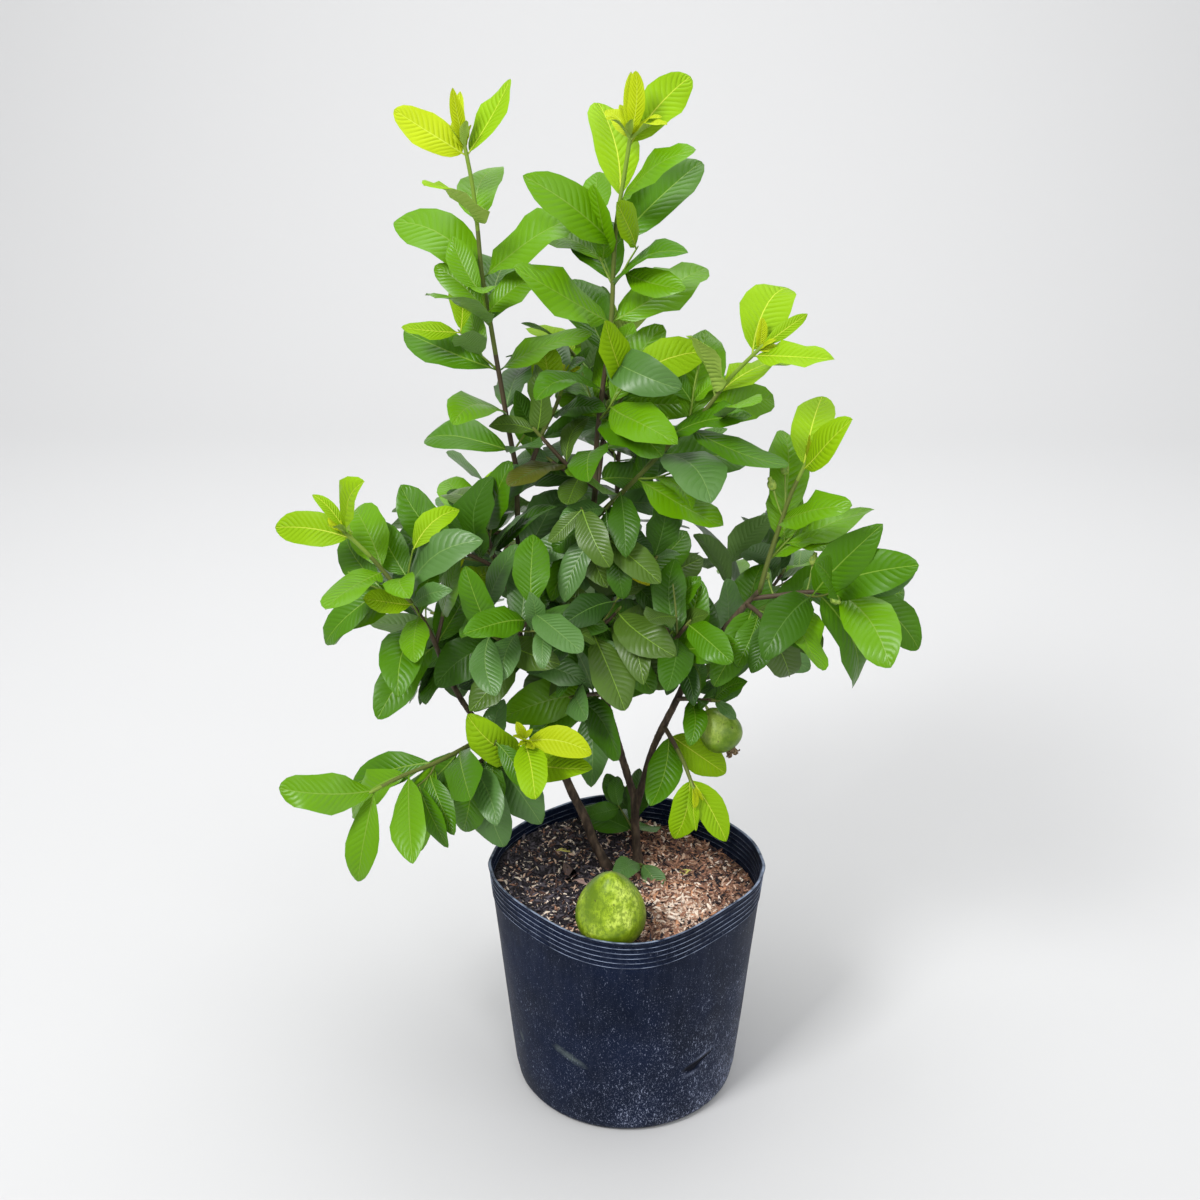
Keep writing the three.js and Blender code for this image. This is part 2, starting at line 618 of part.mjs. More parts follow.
// The height of the mix: flat round the stems, then rising to the left and falling to the back right.
function mixHeight(x, y) {
  const outer = THREE.MathUtils.smoothstep(Math.hypot(x, y), mixFlatRadius, rimRadius);
  const dip = Math.max(0, (x + y) / (rimRadius * Math.SQRT2));
  return mixLevel - outer * (mixSlope * x + mixDip * dip);
}

function mixGeometry() {
  const inset = filmWall + mixPlay;
  const edge = wallRadius(mixLevel) - inset;
  const profile = [[0, potFloor + gap], [footRadius - footRound - gap, potFloor + gap]];
  const mixFoot = footRound + potFloor + gap;
  profile.push([wallRadius(footRound) - inset, mixFoot], ...wallRun(mixFoot, mixLevel, inset));
  for (const radius of [edge, ...mixRings, mixFlatRadius, 0]) {
    profile.push([radius, mixLevel]);
  }
  const geometry = turned(profile, potSides);
  const position = geometry.attributes.position;
  for (let index = 0; index < position.count; index += 1) {
    const [x, y, z] = [position.getX(index), position.getY(index), position.getZ(index)];
    if (z > mixLevel - gap) {
      const height = mixHeight(x, y);
      const atWall = Math.hypot(x, y) > edge - gap;
      const stretch = atWall ? (wallRadius(height) - inset) / edge : 1;
      position.setXYZ(index, x * stretch, y * stretch, height);
    }
  }
  return squared(geometry);
}

function looseGuavaGeometry() {
  const profile = Array.from({ length: guavaRings + 1 }, (_, ring) => {
    const { radius, rise } = guavaProfile(looseGuava, ring / guavaRings);
    return [ring % guavaRings === 0 ? 0 : radius, rise];
  });
  return turned(profile, guavaSides);
}

function solidGeometry(solid) {
  const { vertProperties, triVerts } = solid.getMesh();
  const geometry = new THREE.BufferGeometry();
  geometry.setAttribute("position", new THREE.BufferAttribute(vertProperties, 3));
  geometry.setIndex(new THREE.BufferAttribute(triVerts, 1));
  return geometry;
}

function meshOf(name, geometry, tone) {
  const mesh = new THREE.Mesh(geometry, new THREE.MeshStandardMaterial({ ...tones[tone], metalness: 0 }));
  mesh.name = name;
  return mesh;
}

// All the wood is grown before the first leaf, so that no leaf crosses a shoot.
limbs.forEach(growLimb);
const shooted = masses.map(growShoots);
const fruiting = shooted.map((mass) => (
  mass.name === hangingGuava.mass ? { ...mass, fruit: hangGuava(mass) } : mass));
const foliage = fruiting.map((mass) => ({ ...mass, leaves: placeLeaves(mass) }));

const guavaTree = new THREE.Group();
guavaTree.add(meshOf("pot", potGeometry(), "film"));
guavaTree.add(meshOf("potting_mix", mixGeometry(), "mix"));
for (const limb of limbByName.values()) {
  guavaTree.add(meshOf(limb.name, solidGeometry(limb.solid), "bark"));
}
for (const mass of foliage) {
  guavaTree.add(meshOf(mass.name, solidGeometry(massSolid(mass)), "leaf"));
}
const { x, y, lean, lift } = looseGuava;
const loose = meshOf("loose_guava", looseGuavaGeometry(), "fruit");
loose.position.set(x, y, mixHeight(x, y) + lift);
loose.rotation.x = radians(lean);
guavaTree.add(loose);

export default guavaTree;
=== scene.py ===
import math

import bpy
import numpy as np
from mathutils import Matrix, Vector, noise


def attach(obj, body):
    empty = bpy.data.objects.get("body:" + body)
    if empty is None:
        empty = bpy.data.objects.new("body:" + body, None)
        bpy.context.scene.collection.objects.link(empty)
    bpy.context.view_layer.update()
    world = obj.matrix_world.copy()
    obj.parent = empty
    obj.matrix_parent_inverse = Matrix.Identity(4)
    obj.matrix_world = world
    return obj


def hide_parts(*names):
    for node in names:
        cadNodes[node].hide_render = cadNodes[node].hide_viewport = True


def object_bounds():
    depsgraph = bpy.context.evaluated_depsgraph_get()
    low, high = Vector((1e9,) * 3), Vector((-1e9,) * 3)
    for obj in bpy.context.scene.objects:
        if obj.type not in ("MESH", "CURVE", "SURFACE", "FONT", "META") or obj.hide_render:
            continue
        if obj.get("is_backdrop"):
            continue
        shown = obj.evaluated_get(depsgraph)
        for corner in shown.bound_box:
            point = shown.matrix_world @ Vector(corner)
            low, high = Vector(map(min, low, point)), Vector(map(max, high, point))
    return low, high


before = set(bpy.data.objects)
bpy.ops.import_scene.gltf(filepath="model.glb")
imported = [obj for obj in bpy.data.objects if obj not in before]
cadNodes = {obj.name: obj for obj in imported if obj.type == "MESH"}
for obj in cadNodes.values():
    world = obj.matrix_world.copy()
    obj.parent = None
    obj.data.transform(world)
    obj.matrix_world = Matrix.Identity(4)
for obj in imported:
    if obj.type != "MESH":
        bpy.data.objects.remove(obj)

cadLow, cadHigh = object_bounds()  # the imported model's box, before anything is added
mm = 0.001
up = np.array((0.0, 0.0, 1.0))


def say(text):
    print("guava tree:", text, flush=True)


def pickOnly(piece):
    bpy.ops.object.select_all(action="DESELECT")
    piece.select_set(True)
    bpy.context.view_layer.objects.active = piece


def joined(first, *others):
    pickOnly(first)
    for other in others:
        other.select_set(True)
    bpy.ops.object.join()
    return bpy.context.object


def settle(piece, name, slotName, *replaced):
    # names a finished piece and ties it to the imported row
    piece.name = piece.data.name = name
    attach(piece, "root")
    if replaced:
        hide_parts(*replaced)
    say(f"{name}, {len(piece.data.polygons)} faces")


def shadeSmooth(piece, angle):
    pickOnly(piece)
    bpy.ops.object.shade_smooth_by_angle(angle=math.radians(angle))


# ---- materials

class Finish:
    # one material on a Principled shader, with short calls for the nodes that every finish needs
    def __init__(self, name, color, roughness, specular):
        self.material = bpy.data.materials.new(name)
        self.material.use_nodes = True
        self.nodes = self.material.node_tree.nodes
        self.links = self.material.node_tree.links
        self.shader = self.nodes["Principled BSDF"]
        self.shader.inputs["Base Color"].default_value = (*color, 1)
        self.shader.inputs["Roughness"].default_value = roughness
        self.shader.inputs["Specular IOR Level"].default_value = specular
        self.place = self.nodes.new("ShaderNodeTexCoord").outputs["Object"]

    def made(self, kind, output, fed, **settings):
        # a new node's output, once its inputs are fed with sockets, colours or numbers
        node = self.nodes.new("ShaderNode" + kind)
        for name, value in settings.items():
            setattr(node, name, value)
        for key, value in fed.items():
            socket = node.inputs[key]
            if hasattr(value, "links"):
                self.links.new(value, socket)
            else:
                socket.default_value = (*value, 1) if socket.type == "RGBA" else value
        return node.outputs[output]

    def stretched(self, scale, turn=(0, 0, 0)):
        return self.made("Mapping", "Vector", {"Vector": self.place, "Scale": scale, "Rotation": turn})

    def cloud(self, scale, detail, where=None, roughness=0.55):
        return self.made("TexNoise", "Fac", {"Vector": where or self.place, "Scale": scale, "Detail": detail,
                                             "Roughness": roughness})

    def cells(self, scale, where):
        return self.made("TexVoronoi", "Distance", {"Vector": where, "Scale": scale})

    def ramp(self, value, *stops):
        node = self.nodes.new("ShaderNodeValToRGB")
        band = node.color_ramp
        while len(band.elements) < len(stops):
            band.elements.new(0.5)
        for element, (place, color) in zip(band.elements, stops):
            element.position = place
            element.color = (*color, 1) if isinstance(color, tuple) else (color, color, color, 1)
        self.links.new(value, node.inputs["Fac"])
        return node.outputs["Color"]

    def fade(self, value, low, high, most=1.0):
        return self.ramp(value, (low, 0.0), (high, most))

    def mix(self, share, first, second):
        return self.made("Mix", 2, {0: share, 6: first, 7: second}, data_type="RGBA")

    def sum(self, way, *values):
        return self.made("Math", 0, dict(enumerate(values)), operation=way)

    def product(self, first, *others):
        for other in others:
            first = self.sum("MULTIPLY", first, other)
        return first

    def axis(self, name, where=None):
        return self.made("SeparateXYZ", name, {0: where or self.place})

    def spot(self, place, size, turn=0):
        # 1 at a place in millimetres, falling to 0 at the edge of an ellipsoid round it, tipped about Y
        there = self.made("Mapping", "Vector", {
            "Vector": self.place, "Location": [value * mm for value in place],
            "Scale": [value * mm for value in size], "Rotation": (0, math.radians(turn), 0)},
            vector_type="TEXTURE")
        return self.made("TexGradient", "Fac", {"Vector": there}, gradient_type="SPHERICAL")

    def paint(self, color):
        self.links.new(color, self.shader.inputs["Base Color"])

    def gloss(self, scale, detail, low, high):
        # a roughness that wanders between low and high
        spread = {"Value": self.cloud(scale, detail), "To Min": low, "To Max": high}
        result = self.made("MapRange", "Result", spread)
        self.links.new(result, self.shader.inputs["Roughness"])

    def bump(self, height, depth, strength=1.0):
        # later bumps lie on the earlier ones
        normal = self.shader.inputs["Normal"]
        fed = {"Height": height, "Distance": depth * mm, "Strength": strength}
        if normal.links:
            fed["Normal"] = normal.links[0].from_socket
        self.links.new(self.made("Bump", "Normal", fed), normal)

    def relief(self, *layers, where=None):
        # each layer is the scale and detail of a noise, then its depth in millimetres and its strength
        for scale, detail, depth, strength in layers:
            self.bump(self.cloud(scale, detail, where), depth, strength)


def plainMaterial(name, color, roughness, specular, relief, gloss=None, stretch=(1, 1, 1)):
    # one colour; relief and gloss each begin with the scale and detail of a noise
    finish = Finish(name, color, roughness, specular)
    if gloss:
        finish.gloss(*gloss)
    finish.relief(relief, where=finish.stretched(stretch))
    return finish.material


# ---- stage, camera and light

stage = {"color": (0.545, 0.546, 0.548), "relief": (260, 2, 0.1, 0.3), "far": 4.0, "rise": 4.5, "round": 1.6,
         "segments": 24, "wide": 14.0, "smooth": 60}
cameraPlace = {"lens": 50, "sensor": 36, "location": (0, -1.577, 1.257), "pitchDown": 23.13, "turn": 1.063,
               "clipEnd": 40}
plantMiddle = (0, 0, 0.55)
lamps = {  # place, size, watts, and what it is aimed at
    "keyLamp": ((-1.6, -1.9, 3.0), 1.0, 102, plantMiddle),
    "fillLamp": ((2.2, -1.6, 2.0), 2.0, 18, plantMiddle),
    "topLamp": ((0.2, 0.5, 3.2), 2.0, 26, plantMiddle),
    "lowLamp": ((0.4, -1.6, 1.55), 0.5, 7, (0.03, -0.03, 0.25)),
    "wallLamp": ((0, 1.6, 3.6), 3.8, 118, (0, 4.4, 1.0)),
}
sky = {"Color": (0.97, 0.98, 1.0, 1), "Strength": 0.51}


def buildStage():
    # a floor that sweeps up into a backdrop, bent with a bevel on its one fold
    bpy.ops.object.select_all(action="DESELECT")
    bpy.ops.mesh.primitive_plane_add(size=stage["wide"], location=(0, stage["far"] - stage["wide"] / 2, 0))
    sweep = bpy.context.object
    bpy.ops.object.mode_set(mode="EDIT")
    bpy.ops.mesh.select_all(action="DESELECT")
    bpy.ops.object.mode_set(mode="OBJECT")
    for edge in sweep.data.edges:
        edge.select = all(sweep.data.vertices[corner].co.y > 0 for corner in edge.vertices)
    bpy.ops.object.mode_set(mode="EDIT")
    bpy.ops.mesh.select_mode(type="EDGE")
    bpy.ops.mesh.extrude_region_move(TRANSFORM_OT_translate={"value": (0, 0, stage["rise"])})
    bpy.ops.object.mode_set(mode="OBJECT")
    bend = sweep.modifiers.new("bend", "BEVEL")
    bend.width, bend.segments, bend.limit_method = stage["round"], stage["segments"], "ANGLE"
    pickOnly(sweep)
    bpy.ops.object.modifier_apply(modifier="bend")
    bpy.ops.object.transform_apply(location=True, rotation=True, scale=True)
    shadeSmooth(sweep, stage["smooth"])
    sweep.data.materials.append(plainMaterial("palePaper", stage["color"], 0.9, 0.2, stage["relief"]))
    sweep.name = "studioSweep"
    sweep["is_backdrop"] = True


def buildCamera():
    bpy.ops.object.camera_add(location=cameraPlace["location"])
    camera = bpy.context.object
    camera.data.lens, camera.data.sensor_width = cameraPlace["lens"], cameraPlace["sensor"]
    camera.rotation_euler = (math.radians(90 - cameraPlace["pitchDown"]), 0, math.radians(cameraPlace["turn"]))
    camera.data.clip_end = cameraPlace["clipEnd"]
    bpy.context.scene.camera = camera


def buildLamps():
    for name, (place, size, watts, aim) in lamps.items():
        bpy.ops.object.light_add(type="AREA", location=place)
        light = bpy.context.object
        light.name, light.data.size, light.data.energy = name, size, watts
        light.rotation_euler = (Vector(aim) - light.location).to_track_quat("-Z", "Y").to_euler()
    world = bpy.context.scene.world or bpy.data.worlds.new("studio")
    bpy.context.scene.world = world
    world.use_nodes = True
    for name, value in sky.items():
        world.node_tree.nodes["Background"].inputs[name].default_value = value
    bpy.context.scene.view_settings.view_transform = "Standard"


buildStage()
buildCamera()
buildLamps()
say("stage, camera and lamps")


# ---- how the tree grows, in millimetres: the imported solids' own rule, then finer twigs by the same rule

growth = {
    "mixLevel": 243, "gap": 0.3, "limbStep": 36, "shootStep": 55, "limbKink": 4, "shootKink": 5,
    "rootFlare": 1.5, "flareHeight": 16, "shootRadius": (2.8, 2), "sideRadius": (2.3, 1.8),
    "sideNodes": (0.45, 0.75, 1), "sideLength": (0.35, 0.5), "sideSteps": 3, "sideSpread": 50,
    "sideRise": 60, "sideHighest": 0.9, "woodClearance": 4.5, "woodStep": 4, "ownShare": 0.62,
    "leafClearance": 8, "potClearance": 8, "rimMargin": 24, "rimRadius": 150, "potHeight": 268,
    "spotsHeld": 60000, "nearBy": 14, "sideRoll": 45, "lastShare": 0.99999,
}
leafForm = {
    "width": 0.46, "fullness": 0.62, "petiole": 0.06, "rootInset": 0.4, "pairSpacing": 0.85, "budGap": 9,
    "nodeInset": 2.5, "sizes": (0.92, 1.08), "spreadPlay": 7, "arch": (0.25, 0.75), "fullDroopAge": 3,
    "ageSize": (0.5, 0.82, 0.95, 1.03, 1.02, 0.98, 0.92, 0.86),
    "ageSpread": (16, 34, 42, 48, 53, 58, 62, 66), "budWidth": 0.55, "farSide": 120, "tipPull": 0.4,
    "uprightShare": 0.94, "shrinks": (1, 0.85, 0.7), "nudges": (0, 18, -18, 36, -36, 54, -54),
    "sampleAcross": (-0.9, -0.45, 0, 0.45, 0.9),
}
frontLight = np.array((-0.1, -0.75, 0.7))
backLight = np.array((0, 0.5, 0.85))
limbKeys = ("name", "foot", "on", "at", "from", "to", "length", "radius")
limbRows = (
    ("left_stem", (-20, 27), None, None, (172, 67), (172, 68), 140, (5.6, 4.9)),
    ("right_stem", (13, 36), None, None, (140, 86), (130, 86), 84, (5.2, 4.8)),
    ("upper_left_bough", None, "left_stem", 1, (140, 74), (150, 89), 335, (4.6, 2.9)),
    ("left_bough", None, "left_stem", 0.93, (-162, 26), (-155, 74), 214, (4.2, 2.9)),
    ("centre_bough", None, "right_stem", 1, (158, 70), (164, 77), 253, (4.5, 3.9)),
    ("leader_bough", None, "centre_bough", 1, (-8, 76), (-20, 86), 139, (3.7, 3)),
    ("right_bough", None, "right_stem", 0.9, (-18, 80), (-20, 51), 316, (4.3, 2.9)),
    ("back_left_bough", None, "upper_left_bough", 0.25, (125, 35), (110, 60), 150, (3.3, 2.9)),
    ("back_bough", None, "centre_bough", 0.45, (90, 35), (85, 70), 190, (3.5, 2.9)),
    ("back_right_bough", None, "right_bough", 0.3, (55, 35), (40, 60), 160, (3.3, 2.9)),
)
massKeys = ("name", "on", "at", "from", "to", "length", "bare", "pairs", "roll", "leaf", "droop", "age",
            "sides", "reach", "seed")
massRows = (
    ("tall_left", "upper_left_bough", 1, (-166, 80), (-165, 84), 334, 20, 8, 165, 116, 0, 0, 0, 130, 11),
    ("tall_centre", "leader_bough", 1, (-40, 87), (-20, 82), 340, 20, 10, 30, 118, 0, 0, 0, 130, 13),
    ("upper_right", "leader_bough", 0.55, (-22, 48), (-15, 53), 270, 40, 7, 150, 112, 0.1, 0, 0, 130, 14),
    ("right_top", "right_bough", 1, (-13, 80), (-15, 68), 150, 34, 4, 15, 116, 0.1, 0, 0, 120, 15),
    ("right_outer", "right_bough", 0.96, (-22, 20), (-25, 12), 118, 50, 4, 0, 112, 0.4, 1, 0, 125, 16),
    ("left_outer", "left_bough", 1, (-140, 75), (-168, 42), 186, 20, 6, 60, 104, 0.4, 0, 1, 140, 20),
    ("left_low", "left_bough", 0.5, (-130, -4), (-142, -4), 152, 40, 4, 15, 106, 0.5, 2, 0, 125, 21),
    ("front", "left_bough", 0.2, (-98, 36), (-80, 40), 140, 60, 3, 0, 94, 0.1, 0, 0, 130, 22),
    ("front_left", "left_bough", 0.4, (-105, 15), (-115, 5), 74, 30, 3, 30, 94, 0.8, 2, 0, 130, 23),
    ("low_right", "right_bough", 0.36, (-60, -10), (-70, -45), 84, 14, 3, 0, 94, 0.5, 0, 0, 110, 19),
    ("fruit", "right_bough", 0.48, (-55, 22), (-30, 12), 56, 20, 3, 60, 60, 0.1, 1, 0, 90, 18),
    ("right_middle", "right_bough", 0.93, (-70, 10), (-75, 0), 50, 14, 3, 45, 88, 0.6, 2, 0, 120, 17),
    ("low_centre", "centre_bough", 0.5, (-80, 38), (-150, 10), 80, 20, 3, 30, 96, 0.1, 2, 0, 130, 27),
    ("upper_front", "leader_bough", 0.62, (-80, 10), (-85, 0), 66, 20, 3, 30, 88, 0.8, 2, 0, 130, 31),
    ("tall_left_side", "upper_left_bough", 0.95, (15, 60), (15, 72), 125, 30, 5, 30, 84, 0.1, 0, 0, 110, 12),
    ("inner_left", "upper_left_bough", 0.35, (-112, 38), (-105, 36), 146, 30, 4, 30, 80, 0.3, 2, 2, 140, 24),
    ("middle_left", "upper_left_bough", 0.6, (-128, 40), (-150, 35), 110, 24, 4, 30, 92, 0.4, 2, 2, 140, 25),
    ("left_up", "upper_left_bough", 0.78, (170, 4), (165, 8), 56, 24, 3, 30, 80, 0.3, 2, 1, 130, 26),
    ("middle_centre", "centre_bough", 0.72, (-86, 37), (-86, 30), 112, 24, 4, 30, 90, 0.5, 2, 2, 130, 28),
    ("inner_right", "right_bough", 0.62, (-130, 35), (-110, 45), 110, 24, 4, 30, 80, 0.4, 2, 2, 130, 30),
    ("middle_right", "centre_bough", 0.9, (-25, 35), (-30, 50), 120, 24, 4, 30, 86, 0.4, 2, 2, 140, 29),
    ("leader_left", "leader_bough", 0.85, (-165, 35), (-165, 55), 90, 20, 4, 30, 82, 0.2, 1, 1, 120, 32),
    ("leader_back", "leader_bough", 0.7, (80, 45), (80, 60), 190, 30, 5, 30, 100, 0.2, 0, 2, 140, 45),
    ("back_left", "back_left_bough", 1, (120, 10), (125, 0), 130, 20, 5, 30, 102, 0.4, 1, 2, 150, 34),
    ("back", "back_bough", 1, (90, 60), (80, 45), 180, 20, 5, 30, 102, 0.3, 1, 2, 150, 35),
    ("back_right", "back_right_bough", 1, (55, -10), (60, -20), 120, 20, 5, 30, 102, 0.4, 1, 2, 150, 36),
    ("low_back_left", "back_left_bough", 0.6, (150, -12), (150, -15), 120, 20, 4, 30, 96, 0.6, 2, 1, 140, 37),
    ("low_back_right", "back_right_bough", 0.6, (15, 25), (10, 30), 96, 20, 4, 30, 82, 0.2, 2, 1, 140, 38),
    ("low_back", "back_bough", 0.5, (95, 15), (100, 10), 110, 20, 4, 30, 92, 0.6, 2, 1, 140, 39),
    ("stem", "right_stem", 0.5, (110, 30), (100, 40), 40, 14, 3, 30, 52, 0.3, 1, 0, 80, 40),
    ("foot", "right_stem", 0.12, (-85, 15), (-80, 25), 22, 20, 1, 30, 36, 0.1, 2, 0, 60, 41),
)
fullWord, drawStep = 0xFFFFFFFF, 0x6D2B79F5


def randomFrom(seed):
    state = seed

    def draw():
        nonlocal state
        state = (state + drawStep) & fullWord
        bits = ((state ^ (state >> 15)) * (1 | state)) & fullWord
        bits = ((bits + (bits ^ (bits >> 7)) * (61 | bits)) & fullWord) ^ bits
        return (bits ^ (bits >> 14)) / (fullWord + 1)

    return draw


def swing(draw):
    return 2 * draw() - 1


def between(low, high, share):
    return low + (high - low) * share


def tapered(ends, count):
    return [between(*ends, step / (count - 1)) for step in range(count)]


def unit(vector):
    return vector / np.linalg.norm(vector)


def squareTo(out, facing):
    return unit(facing - out * facing.dot(out))


def directionOf(heading, climb):
    level = math.cos(math.radians(climb))
    return np.array((level * math.cos(math.radians(heading)), level * math.sin(math.radians(heading)),
                     math.sin(math.radians(climb))))


def growPath(start, headings, climbs, length, steps, kink, draw):
    points = [np.array(start, float)]
    for step in range(steps):
        share = (step + 0.5) / steps
        heading = between(*headings, share) + kink * swing(draw)
        climb = between(*climbs, share) + kink * swing(draw)
        points.append(points[-1] + directionOf(heading, climb) * (length / steps))
    return points


def pointAt(points, share):
    place = min(share, growth["lastShare"]) * (len(points) - 1)
    index = int(place)
    return points[index] + (points[index + 1] - points[index]) * (place - index)


def tangentAt(points, share):
    index = min(int(share * (len(points) - 1)), len(points) - 2)
    return unit(points[index + 1] - points[index])


class Room:
    # points that are taken: where, how near one may come, and whose they are
    def __init__(self):
        held = growth["spotsHeld"]
        self.spots, self.clear, self.owner, self.count = np.zeros((held, 3)), np.zeros(held), np.zeros(held, int), 0

    def take(self, points, clearance, owner):
        points = np.atleast_2d(points)
        span = slice(self.count, self.count + len(points))
        self.spots[span], self.clear[span], self.owner[span] = points, clearance, owner
        self.count += len(points)

    def takePath(self, points, radius, owner):
        for first, second in zip(points, points[1:]):
            count = math.ceil(np.linalg.norm(second - first) / growth["woodStep"])
            shares = np.arange(count)[:, None] / count
            self.take(first + (second - first) * shares, radius + growth["woodClearance"], owner)

    def isFree(self, samples, owner, ease=1.0):
        spots, wide = self.spots[: self.count], growth["nearBy"]
        near = np.all((spots > samples.min(0) - wide) & (spots < samples.max(0) + wide), axis=1)
        if not near.any():
            return True
        share = np.where(self.owner[: self.count][near] == owner, growth["ownShare"], 1.0) * ease
        apart = np.linalg.norm(samples[:, None] - spots[near][None], axis=2)
        return not (apart < self.clear[: self.count][near] * share).any()


def clearsPot(points):
    radius = np.hypot(points[:, 0], points[:, 1])
    inside = radius < growth["rimRadius"] - growth["rimMargin"]
    over = points[:, 2] > growth["mixLevel"] + growth["potClearance"]
    beside = radius > growth["rimRadius"] + growth["potClearance"]
    above = points[:, 2] > growth["potHeight"] + growth["potClearance"]
    return np.where(inside, over, beside | above).all()


def rootOf(row, limbByName):
    if row.get("foot"):
        return np.array((*row["foot"], growth["mixLevel"] + growth["gap"]), float)
    parent = limbByName[row["on"]]["points"]
    if row["at"] == 1:
        return parent[-1] + tangentAt(parent, 1) * growth["gap"]
    return pointAt(parent, row["at"])


def leafDirection(points, along, roll, spread):
    tangent = tangentAt(points, along)
    level = np.array((1.0, 0, 0)) if tangent[2] > leafForm["uprightShare"] else np.cross(up, tangent)
    across = squareTo(tangent, level)
    aside = np.cross(tangent, across)
    roll, spread = math.radians(roll), math.radians(spread)
    return (tangent * math.cos(spread) + across * math.sin(spread) * math.cos(roll)
            + aside * math.sin(spread) * math.sin(roll))


def hasBud(mass):
    return mass["age"] == 0 and mass["pairs"] > 2


def pairsAlong(mass):
    budded = hasBud(mass)
    end = 1 - leafForm["nodeInset"] / mass["length"]
    top = end - leafForm["budGap"] / mass["length"] if budded else end
    count = mass["pairs"] - 1 if budded else mass["pairs"]
    spots = [between(top, mass["bare"] / mass["length"],
                     (1 - (count == 1 or pair / (count - 1))) ** leafForm["pairSpacing"])
             for pair in range(count)]
    return spots + [end] if budded else spots


def growLimbs(room):
    limbByName = {}
    for index, row in enumerate(limbRows):
        limb = dict(zip(limbKeys, row))
        steps = round(limb["length"] / growth["limbStep"])
        points = growPath(rootOf(limb, limbByName), *zip(limb["from"], limb["to"]), limb["length"], steps,
                          growth["limbKink"], randomFrom(index + 1))
        radii = tapered(limb["radius"], steps + 1)
        if limb["foot"]:
            points.insert(1, pointAt(points, growth["flareHeight"] / limb["length"]))
            radii.insert(1, radii[0])
            radii[0] *= growth["rootFlare"]
        room.takePath(points, limb["radius"][0], -1 - index)
        limbByName[limb["name"]] = {**limb, "points": points, "radii": radii}
    return limbByName


def growSide(points, along, roll, spread, rise, length, steps, draw):
    # leaves its shoot as a leaf would, and bends half the way to its own rise
    out = leafDirection(points, along, roll, spread)
    heading, climb = math.degrees(math.atan2(out[1], out[0])), math.degrees(math.asin(out[2]))
    return growPath(pointAt(points, along), (heading, heading), (climb, (climb + rise) / 2), length, steps,
                    growth["shootKink"], draw)


def growShoots(index, row, limbByName, room):
    mass = dict(zip(massKeys, row))
    draw = randomFrom(mass["seed"])
    steps = math.ceil(mass["length"] / growth["shootStep"]) + 1
    points = growPath(rootOf(mass, limbByName), *zip(mass["from"], mass["to"]), mass["length"], steps,
                      growth["shootKink"], draw)
    nodes = [{"along": along, "age": mass["age"] + mass["pairs"] - 1 - pair, "roll": mass["roll"] + 90 * pair}
             for pair, along in enumerate(pairsAlong(mass))]
    shoots = [{"points": points, "radius": growth["shootRadius"], "nodes": nodes}]
    spots = [node for node in nodes if node["along"] < growth["sideHighest"]]
    for _ in range(mass["sides"]):
        spot = spots.pop(int(draw() * len(spots)))
        length = mass["length"] * between(*growth["sideLength"], draw())
        turn = 0 if draw() < 0.5 else 180
        sidePoints = growSide(points, spot["along"], spot["roll"] + turn, growth["sideSpread"], growth["sideRise"],
                              length, growth["sideSteps"], draw)
        shoots.append({"points": sidePoints, "radius": growth["sideRadius"], "nodes": [
            {"along": min(share, 1 - leafForm["nodeInset"] / length),
             "age": mass["age"] + len(growth["sideNodes"]) - 1 - pair,
             "roll": mass["roll"] + growth["sideRoll"] + 90 * pair}
            for pair, share in enumerate(growth["sideNodes"])]})
    for shoot in shoots:
        room.takePath(shoot["points"], shoot["radius"][0], index)
    return {**mass, "index": index, "points": points, "shoots": shoots, "draw": draw, "leaves": []}


def leafLine(leaf, along):
    turn = leaf["arch"] * along
    return (leaf["base"] + leaf["out"] * (leaf["length"] * np.sin(turn) / leaf["arch"])
            - leaf["normal"] * (leaf["length"] * (1 - np.cos(turn)) / leaf["arch"]))


def leafHalf(leaf, along):
    blade = np.maximum((along - leafForm["petiole"]) / (1 - leafForm["petiole"]), 0)
    return 0.5 * leaf["width"] * (4 * blade * np.maximum(1 - blade, 0)) ** leafForm["fullness"]


sampleGrid = np.array([(1.0, 0.0)] + [(step / 10, across) for step in range(2, 10)
                                      for across in leafForm["sampleAcross"]])
sampleAlong, sampleAcross = sampleGrid[:, :1], sampleGrid[:, 1:]
leafTries = [(shrink, nudge) for shrink in leafForm["shrinks"] for nudge in leafForm["nudges"]]


def newLeaf(base, out, facing, length, width, arch, **more):
    normal = squareTo(out, facing)
    return {"base": base, "out": out, "normal": normal, "side": np.cross(out, normal), "length": length,
            "width": width, "arch": arch, **more}


